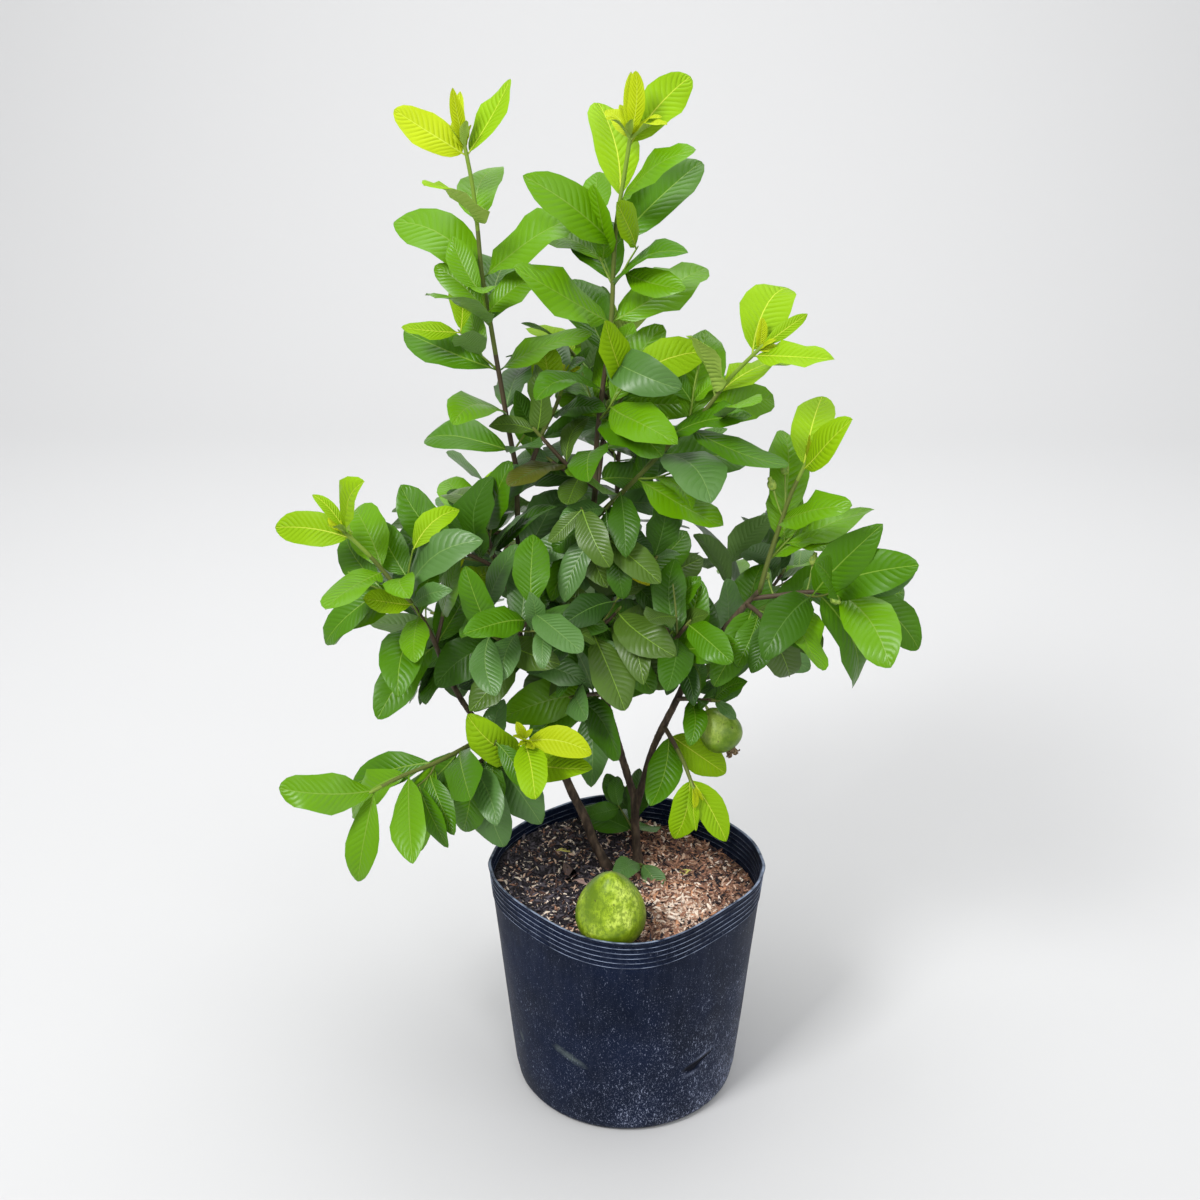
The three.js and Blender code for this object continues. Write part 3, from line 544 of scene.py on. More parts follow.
def placeLeaf(mass, shoot, node, turn, room, ease=1.0):
    draw, form = mass["draw"], leafForm
    age = min(node["age"], len(form["ageSize"]) - 1)
    size = mass["leaf"] * form["ageSize"][age] * between(*form["sizes"], draw()) * shoot.get("leafShare", 1)
    spread = form["ageSpread"][age] + form["spreadPlay"] * swing(draw)
    arch = between(*form["arch"], draw())
    droop = mass["droop"] * min(node["age"], form["fullDroopAge"]) / form["fullDroopAge"]
    place = pointAt(shoot["points"], node["along"])
    light = frontLight if place[1] < form["farSide"] else backLight
    for shrink, nudge in leafTries:
        out = leafDirection(shoot["points"], node["along"], node["roll"] + turn + nudge, spread)
        out[2] -= droop
        out = unit(out)
        facing = light + tangentAt(shoot["points"], node["along"]) * form["tipPull"]
        length = size * shrink
        width = form["width"] * length * (form["budWidth"] if node["age"] == 0 else 1)
        leaf = newLeaf(place + out * form["rootInset"], out, facing, length, width, arch, age=node["age"],
                       fine=shoot.get("fine", False))
        samples = leafLine(leaf, sampleAlong) + leaf["side"] * (leafHalf(leaf, sampleAlong) * sampleAcross)
        reach = min(np.linalg.norm(point - samples[0]) for point in mass["points"])
        if reach < mass["reach"] and clearsPot(samples) and room.isFree(samples, mass["index"], ease):
            room.take(samples, growth["leafClearance"], mass["index"])
            mass["leaves"].append(leaf)
            return True
    return False


def placeLeaves(mass, room):
    for shoot in mass["shoots"]:
        for node in reversed(shoot["nodes"]):
            for turn in (0, 180):
                placeLeaf(mass, shoot, node, turn, room)


# the guavas' outline; the hanging one takes its room among the leaves as the solid one does, then gets a longer neck
guavaForm = {"taper": 0.5, "stalkLength": 11, "endGap": 0.35, "smooth": 60}
hangingGuava = {"along": 0.7, "width": 44, "height": 50, "heading": -20, "climb": -58, "neck": 0.8,
                "clearShares": (0.92, 0.74, 0.54, 0.34, 0.14, 0), "clearSides": 8, "rings": 28, "sides": 44,
                "seed": 5.0}
looseGuava = {"width": 70, "height": 88, "x": -16, "y": -104, "lean": 12, "lift": 1.2, "taper": 1.15,
              "rings": 34, "sides": 56, "seed": 2.0}


def guavaProfile(guava, share):
    taper = 1 + guava.get("taper", guavaForm["taper"]) * (0.5 - share)
    radius = 0.5 * guava["width"] * math.sin(math.pi * share) * taper
    return radius, 0.5 * guava["height"] * (1 - math.cos(math.pi * share))


def hangGuava(mass, room):
    hang = directionOf(hangingGuava["heading"], hangingGuava["climb"])
    shoulder = pointAt(mass["points"], hangingGuava["along"]) + hang * guavaForm["stalkLength"]
    across = squareTo(hang, np.array((1.0, 0, 0)))
    aside = np.cross(-hang, across)
    for share in hangingGuava["clearShares"]:
        radius, rise = guavaProfile(hangingGuava, share)
        centre = shoulder + hang * (hangingGuava["height"] - rise)
        turns = np.arange(hangingGuava["clearSides"] if share else 1) * (2 * math.pi / hangingGuava["clearSides"])
        ring = centre + radius * (np.cos(turns)[:, None] * across + np.sin(turns)[:, None] * aside)
        room.take(ring, growth["leafClearance"], mass["index"])
    return shoulder, hang


# finer twigs, from the leaf corners of older nodes, with smaller leaves that may stand closer
fine = {"seedShift": 500, "share": 0.34, "length": (0.35, 0.68), "longest": 62, "steps": 3, "spread": 40,
        "turn": 14, "rise": 66, "radius": (1.3, 0.8), "nodes": (0.4, 0.97), "leafTurn": 40,
        "leafShare": (0.62, 0.95), "youngest": 3, "ease": 0.8, "twigEase": 0.6, "closer": 3}


def growFineTwigs(mass, room):
    mass["draw"] = draw = randomFrom(mass["seed"] + fine["seedShift"])
    corners = [(shoot["points"], node, turn) for shoot in mass["shoots"] for node in shoot["nodes"]
               for turn in (0, 180)]
    for parent, node, turn in corners:
        if node["age"] < fine["youngest"] or draw() > fine["share"]:
            continue
        length = min(mass["leaf"] * between(*fine["length"], draw()), fine["longest"])
        points = growSide(parent, node["along"], node["roll"] + turn + fine["turn"], fine["spread"], fine["rise"],
                          length, fine["steps"], draw)
        twig = {"points": points, "radius": fine["radius"], "fine": True,
                "leafShare": between(*fine["leafShare"], draw()), "nodes": []}
        free = room.isFree(np.array(points[1:]), mass["index"], fine["twigEase"])
        placed = 0
        for pair, share in reversed(list(enumerate(fine["nodes"]))):
            spot = {"along": share, "age": mass["age"] + len(fine["nodes"]) - pair,
                    "roll": mass["roll"] + fine["leafTurn"] + 90 * pair}
            for side in (0, 180):
                placed += free and placeLeaf(mass, twig, spot, side, room, fine["ease"])
        if placed:
            room.takePath(points, fine["radius"][0] - fine["closer"], mass["index"])
            mass["shoots"].append(twig)


# small half-open leaves round each growing tip; the tall middle shoot ends in a fuller rosette
tipForm = {"seedShift": 700, "along": 0.985, "pairs": 2, "sizes": (0.16, 0.3), "spreads": (10, 30), "spreadPlay": 6,
           "turn": 45, "pairTurn": 78, "light": 0.5, "pull": 0.8, "sizePlay": (0.85, 1.1), "width": 0.34,
           "widthPlay": (0.9, 1.3), "arch": (0.2, 0.7), "fold": (30, 60)}
fullerTips = {"tall_centre": {"pairs": 4, "sizes": (0.2, 0.5), "spreads": (10, 56)},
              "tall_left": {"sizes": (0.18, 0.34), "spreads": (8, 34)}}


def openTip(mass):
    draw = randomFrom(mass["seed"] + tipForm["seedShift"])
    form = {**tipForm, **fullerTips.get(mass["name"], {})}
    points = mass["points"]
    place = pointAt(points, form["along"])
    facing = frontLight * form["light"] + tangentAt(points, form["along"]) * form["pull"]
    for pair in range(form["pairs"]):
        share = (pair + 0.5) / form["pairs"]
        for turn in (0, 180):
            spread = between(*form["spreads"], share) + form["spreadPlay"] * swing(draw)
            roll = mass["roll"] + form["turn"] + form["pairTurn"] * pair + turn
            out = leafDirection(points, form["along"], roll, spread)
            length = mass["leaf"] * between(*form["sizes"], share) * between(*form["sizePlay"], draw())
            width = length * form["width"] * between(*form["widthPlay"], share)
            mass["leaves"].append(newLeaf(place + out, out, facing, length, width, between(*form["arch"], draw()),
                                          age=0, fine=False, fold=form["fold"], green="freshLeaves"))


room = Room()
limbByName = growLimbs(room)
masses = [growShoots(index, row, limbByName, room) for index, row in enumerate(massRows)]
massByName = {mass["name"]: mass for mass in masses}
fruitShoulder, fruitHang = hangGuava(massByName["fruit"], room)
for mass in masses:
    placeLeaves(mass, room)
mainLeaves = sum(len(mass["leaves"]) for mass in masses)
for mass in masses:
    growFineTwigs(mass, room)
for mass in masses:
    if hasBud(mass):
        openTip(mass)
allLeaves = sum(len(mass["leaves"]) for mass in masses)
say(f"{mainLeaves} main leaves and {allLeaves - mainLeaves} on finer twigs and tips")


# ---- joined meshes from arrays, for what repeats: leaves, twigs, husks

class Gathered:
    def __init__(self):
        self.points, self.faces, self.slots, self.marks, self.count = [], [], [], [], 0

    def add(self, points, faces, slots, marks=None):
        self.points.append(points)
        self.faces += [[corner + self.count for corner in face] for face in faces]
        self.slots += slots
        self.marks.append(np.zeros((len(points), 2)) if marks is None else marks)
        self.count += len(points)

    def piece(self, materials, smooth=True):
        mesh = bpy.data.meshes.new("joined")
        points = np.concatenate(self.points) * mm
        mesh.from_pydata(points.tolist(), [], self.faces)
        for material in materials:
            mesh.materials.append(material)
        mesh.polygons.foreach_set("material_index", self.slots)
        mesh.polygons.foreach_set("use_smooth", [smooth] * len(mesh.polygons))
        layer = mesh.uv_layers.new(name="bladeMap")
        corners = np.zeros(len(mesh.loops), int)
        mesh.loops.foreach_get("vertex_index", corners)
        layer.data.foreach_set("uv", np.concatenate(self.marks)[corners].ravel())
        mesh.update()
        piece = bpy.data.objects.new("joined", mesh)
        bpy.context.scene.collection.objects.link(piece)
        return piece


# ---- leaves: a folded, wavy blade with sunken veins and a raised pale rib, in plain greens dealt out by spray

leafMesh = {"rows": 12, "fineRows": 9, "columns": (-1, -0.52, 0, 0, 0.52, 1), "rib": (0.008, 0.002),
            "ribWidest": 0.45, "petioleHalf": 1.1, "petioleTaper": 0.85, "keel": (1.7, 0.6), "keelShare": 0.6,
            "thin": 0.6, "fold": (6, 40), "wave": (0.06, 0.24), "waves": (1.3, 2.5), "ripple": (0.3, 3.3),
            "wavePower": 1.3, "curl": 0.42, "curlBack": 0.7, "curlFrom": 0.5, "roll": 18, "twist": 32, "lean": 0.2,
            "cup": 0.75, "foldIn": 0.6, "wide": (0.88, 1.14), "shoulder": (0.84, 1.22), "uneven": (0.08, 2.2),
            "blunt": (-0.12, 0.3), "seedShift": 900, "smooth": 65}
# larger, smaller and slimmer leaves, by their mass or by their place in it
grown = {"stem": 1.32, "foot": 1.3, ("fruit", 0): 0.62, ("fruit", 2): 0.6, ("low_centre", 3): 1.15,
         ("right_outer", 1): 0.74, ("right_middle", 0): 0.7, ("right_middle", 2): 0.74, ("leader_left", 0): 0.76,
         ("middle_right", 0): 0.6, ("inner_right", 8): 0.75, ("tall_left", 3): 0.8, ("tall_left", 2): 0.88,
         ("low_right", 3): 0.85}
slim = {"left_low": 0.82, "foot": 1.3, "stem": 1.15}
# leaves that have fallen, so that light comes through the crown
fallen = {"inner_right": (5, 10, 13), "left_outer": (19, 20, 23), "tall_centre": (30, 31), "right_top": (6, 7, 8),
          "upper_right": (13, 17, 20), "left_low": (8,), "low_centre": (0, 6), "inner_left": (5,),
          "middle_centre": (1,), "back_right": (5, 8, 16, 17, 23, 26), "low_back": (16, 29),
          "low_back_right": (5, 7, 9), "middle_right": (10,), "leader_back": (5, 9)}
# leaves that have turned, by the way they point
turned = {("foot", 0): (0.4, -0.88, -0.16), ("low_centre", 3): (-0.93, -0.34, -0.06),
          ("front", 1): (0.88, -0.42, 0.12), ("low_right", 1): (0.5, -0.5, -0.7),
          ("low_right", 2): (-0.27, -0.4, -0.87)}
veinForm = {"count": 14, "slant": 0.18, "strength": 0.65, "shine": (55, 3), "grain": (700, 3, 0.12, 0.35)}
# the darker greens also stand for painted shade deep in the crown, and the lighter ones for painted light outside it
greens = {  # blade colour and kind, from the youngest growth to the oldest and most shaded, then the odd ones
    "freshLeaves": ((0.36, 0.46, 0.004), "fresh"), "youngLeaves": ((0.21, 0.38, 0.002), "fresh"),
    "sunLeaves": ((0.105, 0.26, 0.001), "green"), "summerLeaves": ((0.058, 0.172, 0.001), "green"),
    "shadeLeaves": ((0.034, 0.105, 0.003), "shade"), "oldShadedLeaves": ((0.017, 0.057, 0.004), "shade"),
    # the grey-green is partly the leaf's own tone and partly a painted sheen, where leaves face up to the sky
    "greySheenLeaves": ((0.07, 0.165, 0.032), "grey"), "oliveLeaves": ((0.062, 0.122, 0.013), "green"),
    "yellowLeaves": ((0.37, 0.38, 0.006), "fresh"), "bronzeLeaves": ((0.09, 0.10, 0.012), "shade"),
}
kinds = {  # rib colour, underside colour, gloss and depth of the veins for each kind of leaf
    "fresh": {"rib": (0.46, 0.55, 0.05), "under": (0.40, 0.56, 0.10), "gloss": (0.42, 0.6), "specular": 0.12,
              "veins": 1.15},
    "green": {"rib": (0.17, 0.30, 0.03), "under": (0.17, 0.30, 0.08), "gloss": (0.26, 0.42), "specular": 0.24,
              "veins": 0.68},
    "grey": {"rib": (0.14, 0.25, 0.06), "under": (0.16, 0.28, 0.10), "gloss": (0.32, 0.46), "specular": 0.42,
             "veins": 0.62},
    # the shaded kind has darker ribs and undersides, painted shade
    "shade": {"rib": (0.08, 0.17, 0.025), "under": (0.10, 0.20, 0.055), "gloss": (0.27, 0.42), "specular": 0.22,
              "veins": 0.6},
}


def leafMaterial(name, color, kind, veined=True):
    finish = Finish(name, color, kind["gloss"][0], kind["specular"])
    finish.gloss(*veinForm["shine"], *kind["gloss"])
    if veined:
        blade = finish.made("UVMap", 0, {}, uv_map="bladeMap")
        off = finish.sum("ABSOLUTE", finish.sum("MULTIPLY_ADD", finish.axis("Y", blade), 2, -1))
        slanted = finish.sum("SUBTRACT", finish.axis("X", blade), finish.product(off, veinForm["slant"]))
        quilt = finish.sum("ABSOLUTE", finish.sum("SINE", finish.product(slanted, veinForm["count"] * math.pi)))
        inner = finish.sum("SUBTRACT", 1, finish.product(off, off))
        finish.bump(finish.product(quilt, inner), kind["veins"], veinForm["strength"])
    finish.relief(veinForm["grain"])
    return finish.material


def leafFaces(rows):
    # each row has six points across the top and three under it, and both sides split along the same diagonals
    wide = len(leafMesh["columns"])
    faces, slots = [], []
    for row in range(rows + 1):
        top, under = row * wide, (rows + 1) * wide + 3 * row
        ring = list(range(top, top + wide)) + [under + 2, under + 1, under]
        if row:
            for spot, (low, high) in enumerate(zip(before, ring)):
                after = (spot + 1) % len(ring)
                face = (low, before[after], ring[after], high)
                faces.append(face if spot < wide - 1 else face[1:] + face[:1])
                slots.append(1 if spot == 2 else 0 if spot < wide - 1 else 2)
        before = ring
        if row in (0, rows):
            faces.append(tuple(ring) if row else tuple(reversed(ring)))
            slots.append(2)
    return faces, slots


def leafPoints(leaf, draw, rows):
    # rows run from the stalk to the tip, closer at both ends, where the outline turns
    form, stalk, length = leafMesh, leafForm["petiole"], leaf["length"]
    blade = 0.5 * (1 - np.cos(np.pi * np.arange(rows) / (rows - 1)))
    along = np.concatenate(([0.0], stalk + (1 - stalk) * blade))[:, None]
    # the outline
    shoulder, wide = between(*form["shoulder"], draw()), between(*form["wide"], draw()) * leaf.get("slim", 1)
    shaped = stalk + (1 - stalk) * np.maximum((along - stalk) / (1 - stalk), 0) ** shoulder
    swell, swells = form["uneven"]
    uneven = 1 + swell * draw() * np.sin(2 * math.pi * (swells * along + draw()))
    blunt = (np.maximum(leafHalf(leaf, shaped), 0.01) / (0.5 * leaf["width"])) ** between(*form["blunt"], draw())
    half = np.maximum(leafHalf(leaf, shaped) * blunt * wide * uneven,
                      form["petioleHalf"] * (1 - form["petioleTaper"] * along))
    rib = np.minimum(length * between(*form["rib"], along) / half, form["ribWidest"])
    across = np.array(form["columns"])[None, :] + rib * np.array((0, 0, -1, 1, 0, 0))[None, :]
    # how it folds, waves, curls, leans and twists
    fold = math.radians(between(*leaf.get("fold", form["fold"]), draw()))
    amount, waves = between(*form["wave"], draw() ** form["wavePower"]), between(*form["waves"], draw())
    phases = (2 * math.pi * draw(), 2 * math.pi * draw())
    tipCurl, lean = form["curl"] * (2 * draw() - form["curlBack"]), form["lean"] * swing(draw)
    roll, twist = math.radians(form["roll"] * swing(draw)), math.radians(form["twist"] * swing(draw))
    turn, tilt = leaf["arch"] * along, roll + twist * along
    lift = leaf["normal"] * np.cos(turn) + leaf["out"] * np.sin(turn)
    side = leaf["side"] * np.cos(tilt) + lift * np.sin(tilt)
    facing = lift * np.cos(tilt) - leaf["side"] * np.sin(tilt)
    middle = leafLine(leaf, along) + leaf["side"] * (length * lean * along * (1 - along) * 2)
    phase = np.where(across < 0, phases[0], phases[1])
    again, quicker = form["ripple"]
    ripple = (np.sin(2 * math.pi * waves * along + phase)
              + again * np.sin(quicker * math.pi * waves * along + 2 * phase))
    height = (half * np.abs(across) * math.sin(fold) * (1 - form["cup"] * np.abs(across))
              + half * amount * across ** 2 * ripple
              - length * tipCurl * np.maximum(along - form["curlFrom"], 0) ** 2)
    reach = half * across * math.cos(fold * form["foldIn"])
    points = middle[:, None] + side[:, None] * reach[..., None] + facing[:, None] * height[..., None]
    # the underside
    keel = between(*form["keel"], along ** 0.6) * between(form["keelShare"], 1, length / 100)
    under = np.stack((points[:, 1] - facing * keel * form["thin"], points[:, 2:4].mean(1) - facing * keel,
                      points[:, 4] - facing * keel * form["thin"]), 1)
    marks = np.stack(np.broadcast_arrays(along, 0.5 + 0.5 * across), -1)
    marks = np.concatenate((marks.reshape(-1, 2), marks[:, (1, 2, 4)].reshape(-1, 2)))
    return np.concatenate((points.reshape(-1, 3), under.reshape(-1, 3))), marks


# how the greens are dealt: each mass has the shade of its tip and of its base, as places in this order,
# and the shares of its leaves that show a painted grey sheen or an olive green; the darker places of masses
# deep in the crown are painted shade, and the lighter places of upper and outer masses painted light
shadeOrder = ("oldShadedLeaves", "shadeLeaves", "summerLeaves", "sunLeaves", "youngLeaves", "freshLeaves")
shades = {
    "tall_left": (5.5, 3.3, 0.08, 0), "tall_centre": (5.6, 2.75, 0.08, 0), "upper_right": (5.4, 2.7, 0.22, 0),
    "right_top": (5.3, 2.7, 0.1, 0), "right_outer": (3.4, 2.5, 0.22, 0), "left_outer": (5.2, 2.6, 0.15, 0),
    "left_low": (3.3, 2.7, 0, 0), "front": (5.6, 3.4, 0, 0), "front_left": (2.6, 2.2, 0.35, 0),
    "low_right": (5.0, 4.0, 0, 0), "fruit": (2.3, 1.6, 0.1, 0.35), "right_middle": (2.3, 1.6, 0.15, 0.12),
    "low_centre": (2.8, 2.3, 0.5, 0.22), "upper_front": (2.1, 1.4, 0.2, 0.3),
    "tall_left_side": (2.7, 1.6, 0.25, 0), "inner_left": (2.5, 1.3, 0.2, 0.16),
    "middle_left": (2.4, 1.2, 0.2, 0.2), "left_up": (2.7, 1.7, 0.25, 0), "middle_centre": (2.2, 1.0, 0.14, 0.34),
    "inner_right": (2.2, 1.0, 0.14, 0.3), "middle_right": (2.2, 1.1, 0.2, 0.24),
    "leader_left": (2.6, 1.5, 0.3, 0.25), "leader_back": (4.3, 1.8, 0.1, 0.1), "back_left": (3.8, 1.6, 0.15, 0),
    "back": (4.2, 1.6, 0.15, 0.1), "back_right": (3.8, 1.6, 0.15, 0), "low_back_left": (2.6, 1.2, 0.2, 0),
    "low_back_right": (2.6, 1.2, 0.2, 0), "low_back": (2.4, 1.0, 0.2, 0), "stem": (1.9, 1.3, 0.15, 0),
    "foot": (2.4, 2.2, 1, 0),
}
shadeForm = {"reach": 3.4, "play": 1.2, "fineDrop": 0.5, "greyBetween": (1, 3.6), "oliveBelow": 3}
# the big low leaf in front, low_centre 3, gets a lighter green: painted light where it lies in shade
oddLeaves = {("upper_front", 15): "yellowLeaves", ("middle_right", 13): "yellowLeaves",
             ("low_centre", 3): "sunLeaves", ("low_right", 3): "youngLeaves", ("low_right", 4): "summerLeaves",
             ("leader_left", 3): "bronzeLeaves", ("middle_left", 3): "bronzeLeaves"}


def shadeOf(mass, leaf, draw):
    # darker for older leaves, for masses deep in the crown and for finer twigs: partly the leaves' own age, partly
    # painted shade
    tip, base, grey, olive = shades[mass["name"]]
    youth = max(0.0, 1 - (leaf["age"] - mass["age"]) / shadeForm["reach"])
    level = between(base, tip, youth) + shadeForm["play"] * (draw() - 0.5) - shadeForm["fineDrop"] * leaf["fine"]
    pick = draw()
    low, high = shadeForm["greyBetween"]
    if pick < grey and low < level < high:
        return "greySheenLeaves"
    if pick > 1 - olive and level < shadeForm["oliveBelow"]:
        return "oliveLeaves"
    return shadeOrder[int(min(max(level, 0), len(shadeOrder) - 1))]


def buildLeaves():
    gathered = {name: Gathered() for name in greens}
    for mass in masses:
        draw, name = randomFrom(mass["seed"] + leafMesh["seedShift"]), mass["name"]
        for place, leaf in enumerate(mass["leaves"]):
            spot = name, place
            leaf["slim"] = slim.get(name, 1)
            for side in ("length", "width"):
                leaf[side] *= grown.get(spot, grown.get(name, 1))
            if spot in turned:
                leaf.update(newLeaf(leaf["base"], unit(np.array(turned[spot])), frontLight, leaf["length"],
                                    leaf["width"], leaf["arch"]))
            rows = leafMesh["fineRows" if leaf["fine"] else "rows"]
            points, marks = leafPoints(leaf, draw, rows)
            shade = shadeOf(mass, leaf, draw)
            if place not in fallen.get(name, ()):
                gathered[oddLeaves.get(spot) or leaf.get("green") or shade].add(points, *leafFaces(rows), marks)
    extras = {name: [leafMaterial(name + "Rib", kind["rib"], kind, False),
                     leafMaterial(name + "Under", kind["under"], kind)] for name, kind in kinds.items()}
    pieces = []
    for name, (color, kind) in greens.items():
        piece = gathered[name].piece([leafMaterial(name + "Blade", color, kinds[kind])] + extras[kind])
        shadeSmooth(piece, leafMesh["smooth"])
        pieces.append((piece, name))
    return pieces


# ---- shoots and finer twigs: tubes that thin out to their tips, green above and brown below

twigMesh = {"sides": 7, "steps": 3, "across": (1.0, 0.3, 0.1), "seat": 3, "reach": 5, "fineReach": 3, "tip": 0.35}
twigFinish = {"roughness": 0.55, "specular": 0.4, "relief": (700, 3, 0.4, 0.6), "gloss": (300, 3, 0.45, 0.75),
              "stretch": (1, 1, 0.3)}
twigColors = {"brownTwig": (0.08, 0.055, 0.03), "oliveTwig": (0.12, 0.15, 0.025), "greenTwig": (0.19, 0.29, 0.03)}
# places in that order, from the foot of a twig to its tip
twigTones = {"young": (0, 1, 2), "old": (0, 0, 1), "fineYoung": (2,), "fineOld": (1,), "pale": (1, 1, 2)}
paleShoots = ("upper_right", "right_top", "left_low")


def seated(points, depth):
    # begins a little inside what it grows from
    return [points[0] - unit(points[1] - points[0]) * depth, *points[1:]]


def smoothRun(points, radii, steps):
    # a curve through the points, which keeps their places
    points = [points[0] * 2 - points[1], *points, points[-1] * 2 - points[-2]]
    run, wide = [], []
    for index in range(1, len(points) - 2):
        before, here, there, after = points[index - 1: index + 3]
        for step in range(steps):
            t = step / steps
            run.append(0.5 * (2 * here + (there - before) * t + (2 * before - 5 * here + 4 * there - after) * t ** 2
                              + (3 * here - before - 3 * there + after) * t ** 3))
            wide.append(between(radii[index - 1], radii[index], t))
    return run + [points[-2]], wide + [radii[-1]]


def tubePoints(run, wide, sides):
    across, rings = np.array(twigMesh["across"]), []
    turns = np.arange(sides) * (2 * math.pi / sides)
    for index, point in enumerate(run):
        tangent = unit(run[min(index + 1, len(run) - 1)] - run[max(index - 1, 0)])
        across = squareTo(tangent, across)
        aside = np.cross(tangent, across)
        rings.append(point + wide[index] * (np.cos(turns)[:, None] * across + np.sin(turns)[:, None] * aside))
    return np.concatenate(rings)


def tubeFaces(rings, sides):
    faces = []
    for ring in range(rings - 1):
        for side in range(sides):
            here, nextSide = ring * sides + side, ring * sides + (side + 1) % sides
            faces.append((here, nextSide, nextSide + sides, here + sides))
    faces.append(tuple(range(sides - 1, -1, -1)))
    faces.append(tuple(range((rings - 1) * sides, rings * sides)))
    return faces


def addTube(gathered, points, radii, tones, steps=twigMesh["steps"]):
    # tones are the slots that follow one another from the foot to the tip
    run, wide = smoothRun(points, radii, steps)
    faces = tubeFaces(len(run), twigMesh["sides"])
    slots = [tones[face * len(tones) // len(faces)] for face in range(len(faces))]
    gathered.add(tubePoints(run, wide, twigMesh["sides"]), faces, slots)


def buildTwigs():
    gathered = Gathered()
    for mass in masses:
        years = "Young" if mass["age"] == 0 else "Old"
        for shoot in mass["shoots"]:
            points, isFine = shoot["points"], "fine" in shoot
            tone = "fine" + years if isFine else years.lower()
            if shoot is mass["shoots"][0]:
                points = seated(points, twigMesh["seat"]) if mass["at"] == 1 else points
                tone = "pale" if mass["name"] in paleShoots else tone
            tip = points[-1] + unit(points[-1] - points[-2]) * twigMesh["fineReach" if isFine else "reach"]
            radii = tapered(shoot["radius"], len(points)) + [shoot["radius"][1] * twigMesh["tip"]]
            addTube(gathered, [*points, tip], radii, twigTones[tone])
    return gathered.piece([plainMaterial(name, color, **twigFinish) for name, color in twigColors.items()])


# ---- stems and boughs: curves made into one skin, then given the bark's relief

barkForm = {"seat": 4, "footDeep": 3, "collar": 1.22, "collarRun": 7, "roundness": 3, "curveSteps": 9,
            "voxel": 1.25, "relief": {"ridges": (11, 1.1), "grain": (4, 0.56)}, "reliefDetail": 3}


def makeBark():
    finish = Finish("darkBark", (0.07, 0.05, 0.036), 0.8, 0.3)
    drawn = finish.stretched((1, 1, 0.28))
    tone = finish.ramp(finish.cloud(190, 5, drawn), (0.3, (0.022, 0.015, 0.011)), (0.5, (0.062, 0.042, 0.029)),
                       (0.72, (0.15, 0.105, 0.07)))
    green = finish.fade(finish.axis("Z"), 0.5, 0.82)
    finish.paint(finish.mix(green, tone, finish.mix(0.55, tone, (0.14, 0.14, 0.04))))
    finish.gloss(240, 3, 0.62, 0.9)
    finish.bump(finish.cloud(420, 5, drawn, 0.65), 0.8, 0.9)
    finish.bump(finish.cells(520, drawn), 0.4, 0.5)
    return finish.material


def limbCurve(limb):
    points, radii = list(limb["points"]), list(limb["radii"])
    if limb["at"] == 1:
        points = seated(points, barkForm["seat"])
    elif limb["at"]:  # a collar where it leaves its parent
        points.insert(1, points[0] + unit(points[1] - points[0]) * barkForm["collarRun"])
        radii[:1] = [radii[0] * barkForm["collar"]] * 2
    else:
        points[0] = points[0] - up * barkForm["footDeep"]
    bpy.ops.object.select_all(action="DESELECT")
    bpy.ops.curve.primitive_bezier_curve_add()
    curve = bpy.context.object.data
    spots = curve.splines[0].bezier_points
    spots.add(len(points) - 2)
    for spot, point, radius in zip(spots, points, radii):
        spot.co, spot.radius = Vector(point) * mm, radius
        spot.handle_left_type = spot.handle_right_type = "AUTO"
    curve.dimensions, curve.bevel_depth, curve.bevel_resolution = "3D", mm, barkForm["roundness"]
    curve.use_fill_caps, curve.resolution_u = True, barkForm["curveSteps"]
    bpy.ops.object.convert(target="MESH")
    return bpy.context.object


def buildWood():
    wood = joined(*[limbCurve(limb) for limb in limbByName.values()])
    skin = wood.modifiers.new("skin", "REMESH")
    skin.mode, skin.voxel_size = "VOXEL", barkForm["voxel"] * mm
    bpy.ops.object.modifier_apply(modifier="skin")
    for name, (size, depth) in barkForm["relief"].items():
        texture = bpy.data.textures.new(name, "CLOUDS")
        texture.noise_scale, texture.noise_depth = size * mm, barkForm["reliefDetail"]
        relief = wood.modifiers.new(name, "DISPLACE")
        relief.texture, relief.texture_coords = texture, "GLOBAL"
        relief.strength, relief.mid_level = depth * mm, 0.5
        bpy.ops.object.modifier_apply(modifier=name)
    bpy.ops.object.shade_smooth()
    wood.data.materials.clear()
    wood.data.materials.append(makeBark())
    return wood


# ---- turned pieces: a filled circle drawn up ring by ring

def turnedPiece(rings, sides):
    bpy.ops.object.select_all(action="DESELECT")
    bpy.ops.mesh.primitive_circle_add(vertices=sides, radius=rings[0][0] * mm, fill_type="NGON",
                                      location=(0, 0, rings[0][1] * mm))
    piece = bpy.context.object
    bpy.ops.object.mode_set(mode="EDIT")
    bpy.ops.mesh.select_all(action="SELECT")
    for (radius, z), (wide, rise) in zip(rings, rings[1:]):
        bpy.ops.mesh.extrude_region_move(TRANSFORM_OT_translate={"value": (0, 0, (rise - z) * mm)})
        bpy.ops.transform.resize(value=(wide / radius, wide / radius, 1), center_override=(0, 0, rise * mm))
    bpy.ops.mesh.select_all(action="SELECT")
    bpy.ops.mesh.normals_make_consistent(inside=False)
    bpy.ops.object.mode_set(mode="OBJECT")
    bpy.ops.object.transform_apply(location=True, rotation=True, scale=True)
    return piece


def reshape(piece, place):
    # each corner goes where place says, in millimetres
    for vertex in piece.data.vertices:
        vertex.co = Vector(place(*(vertex.co / mm))) * mm


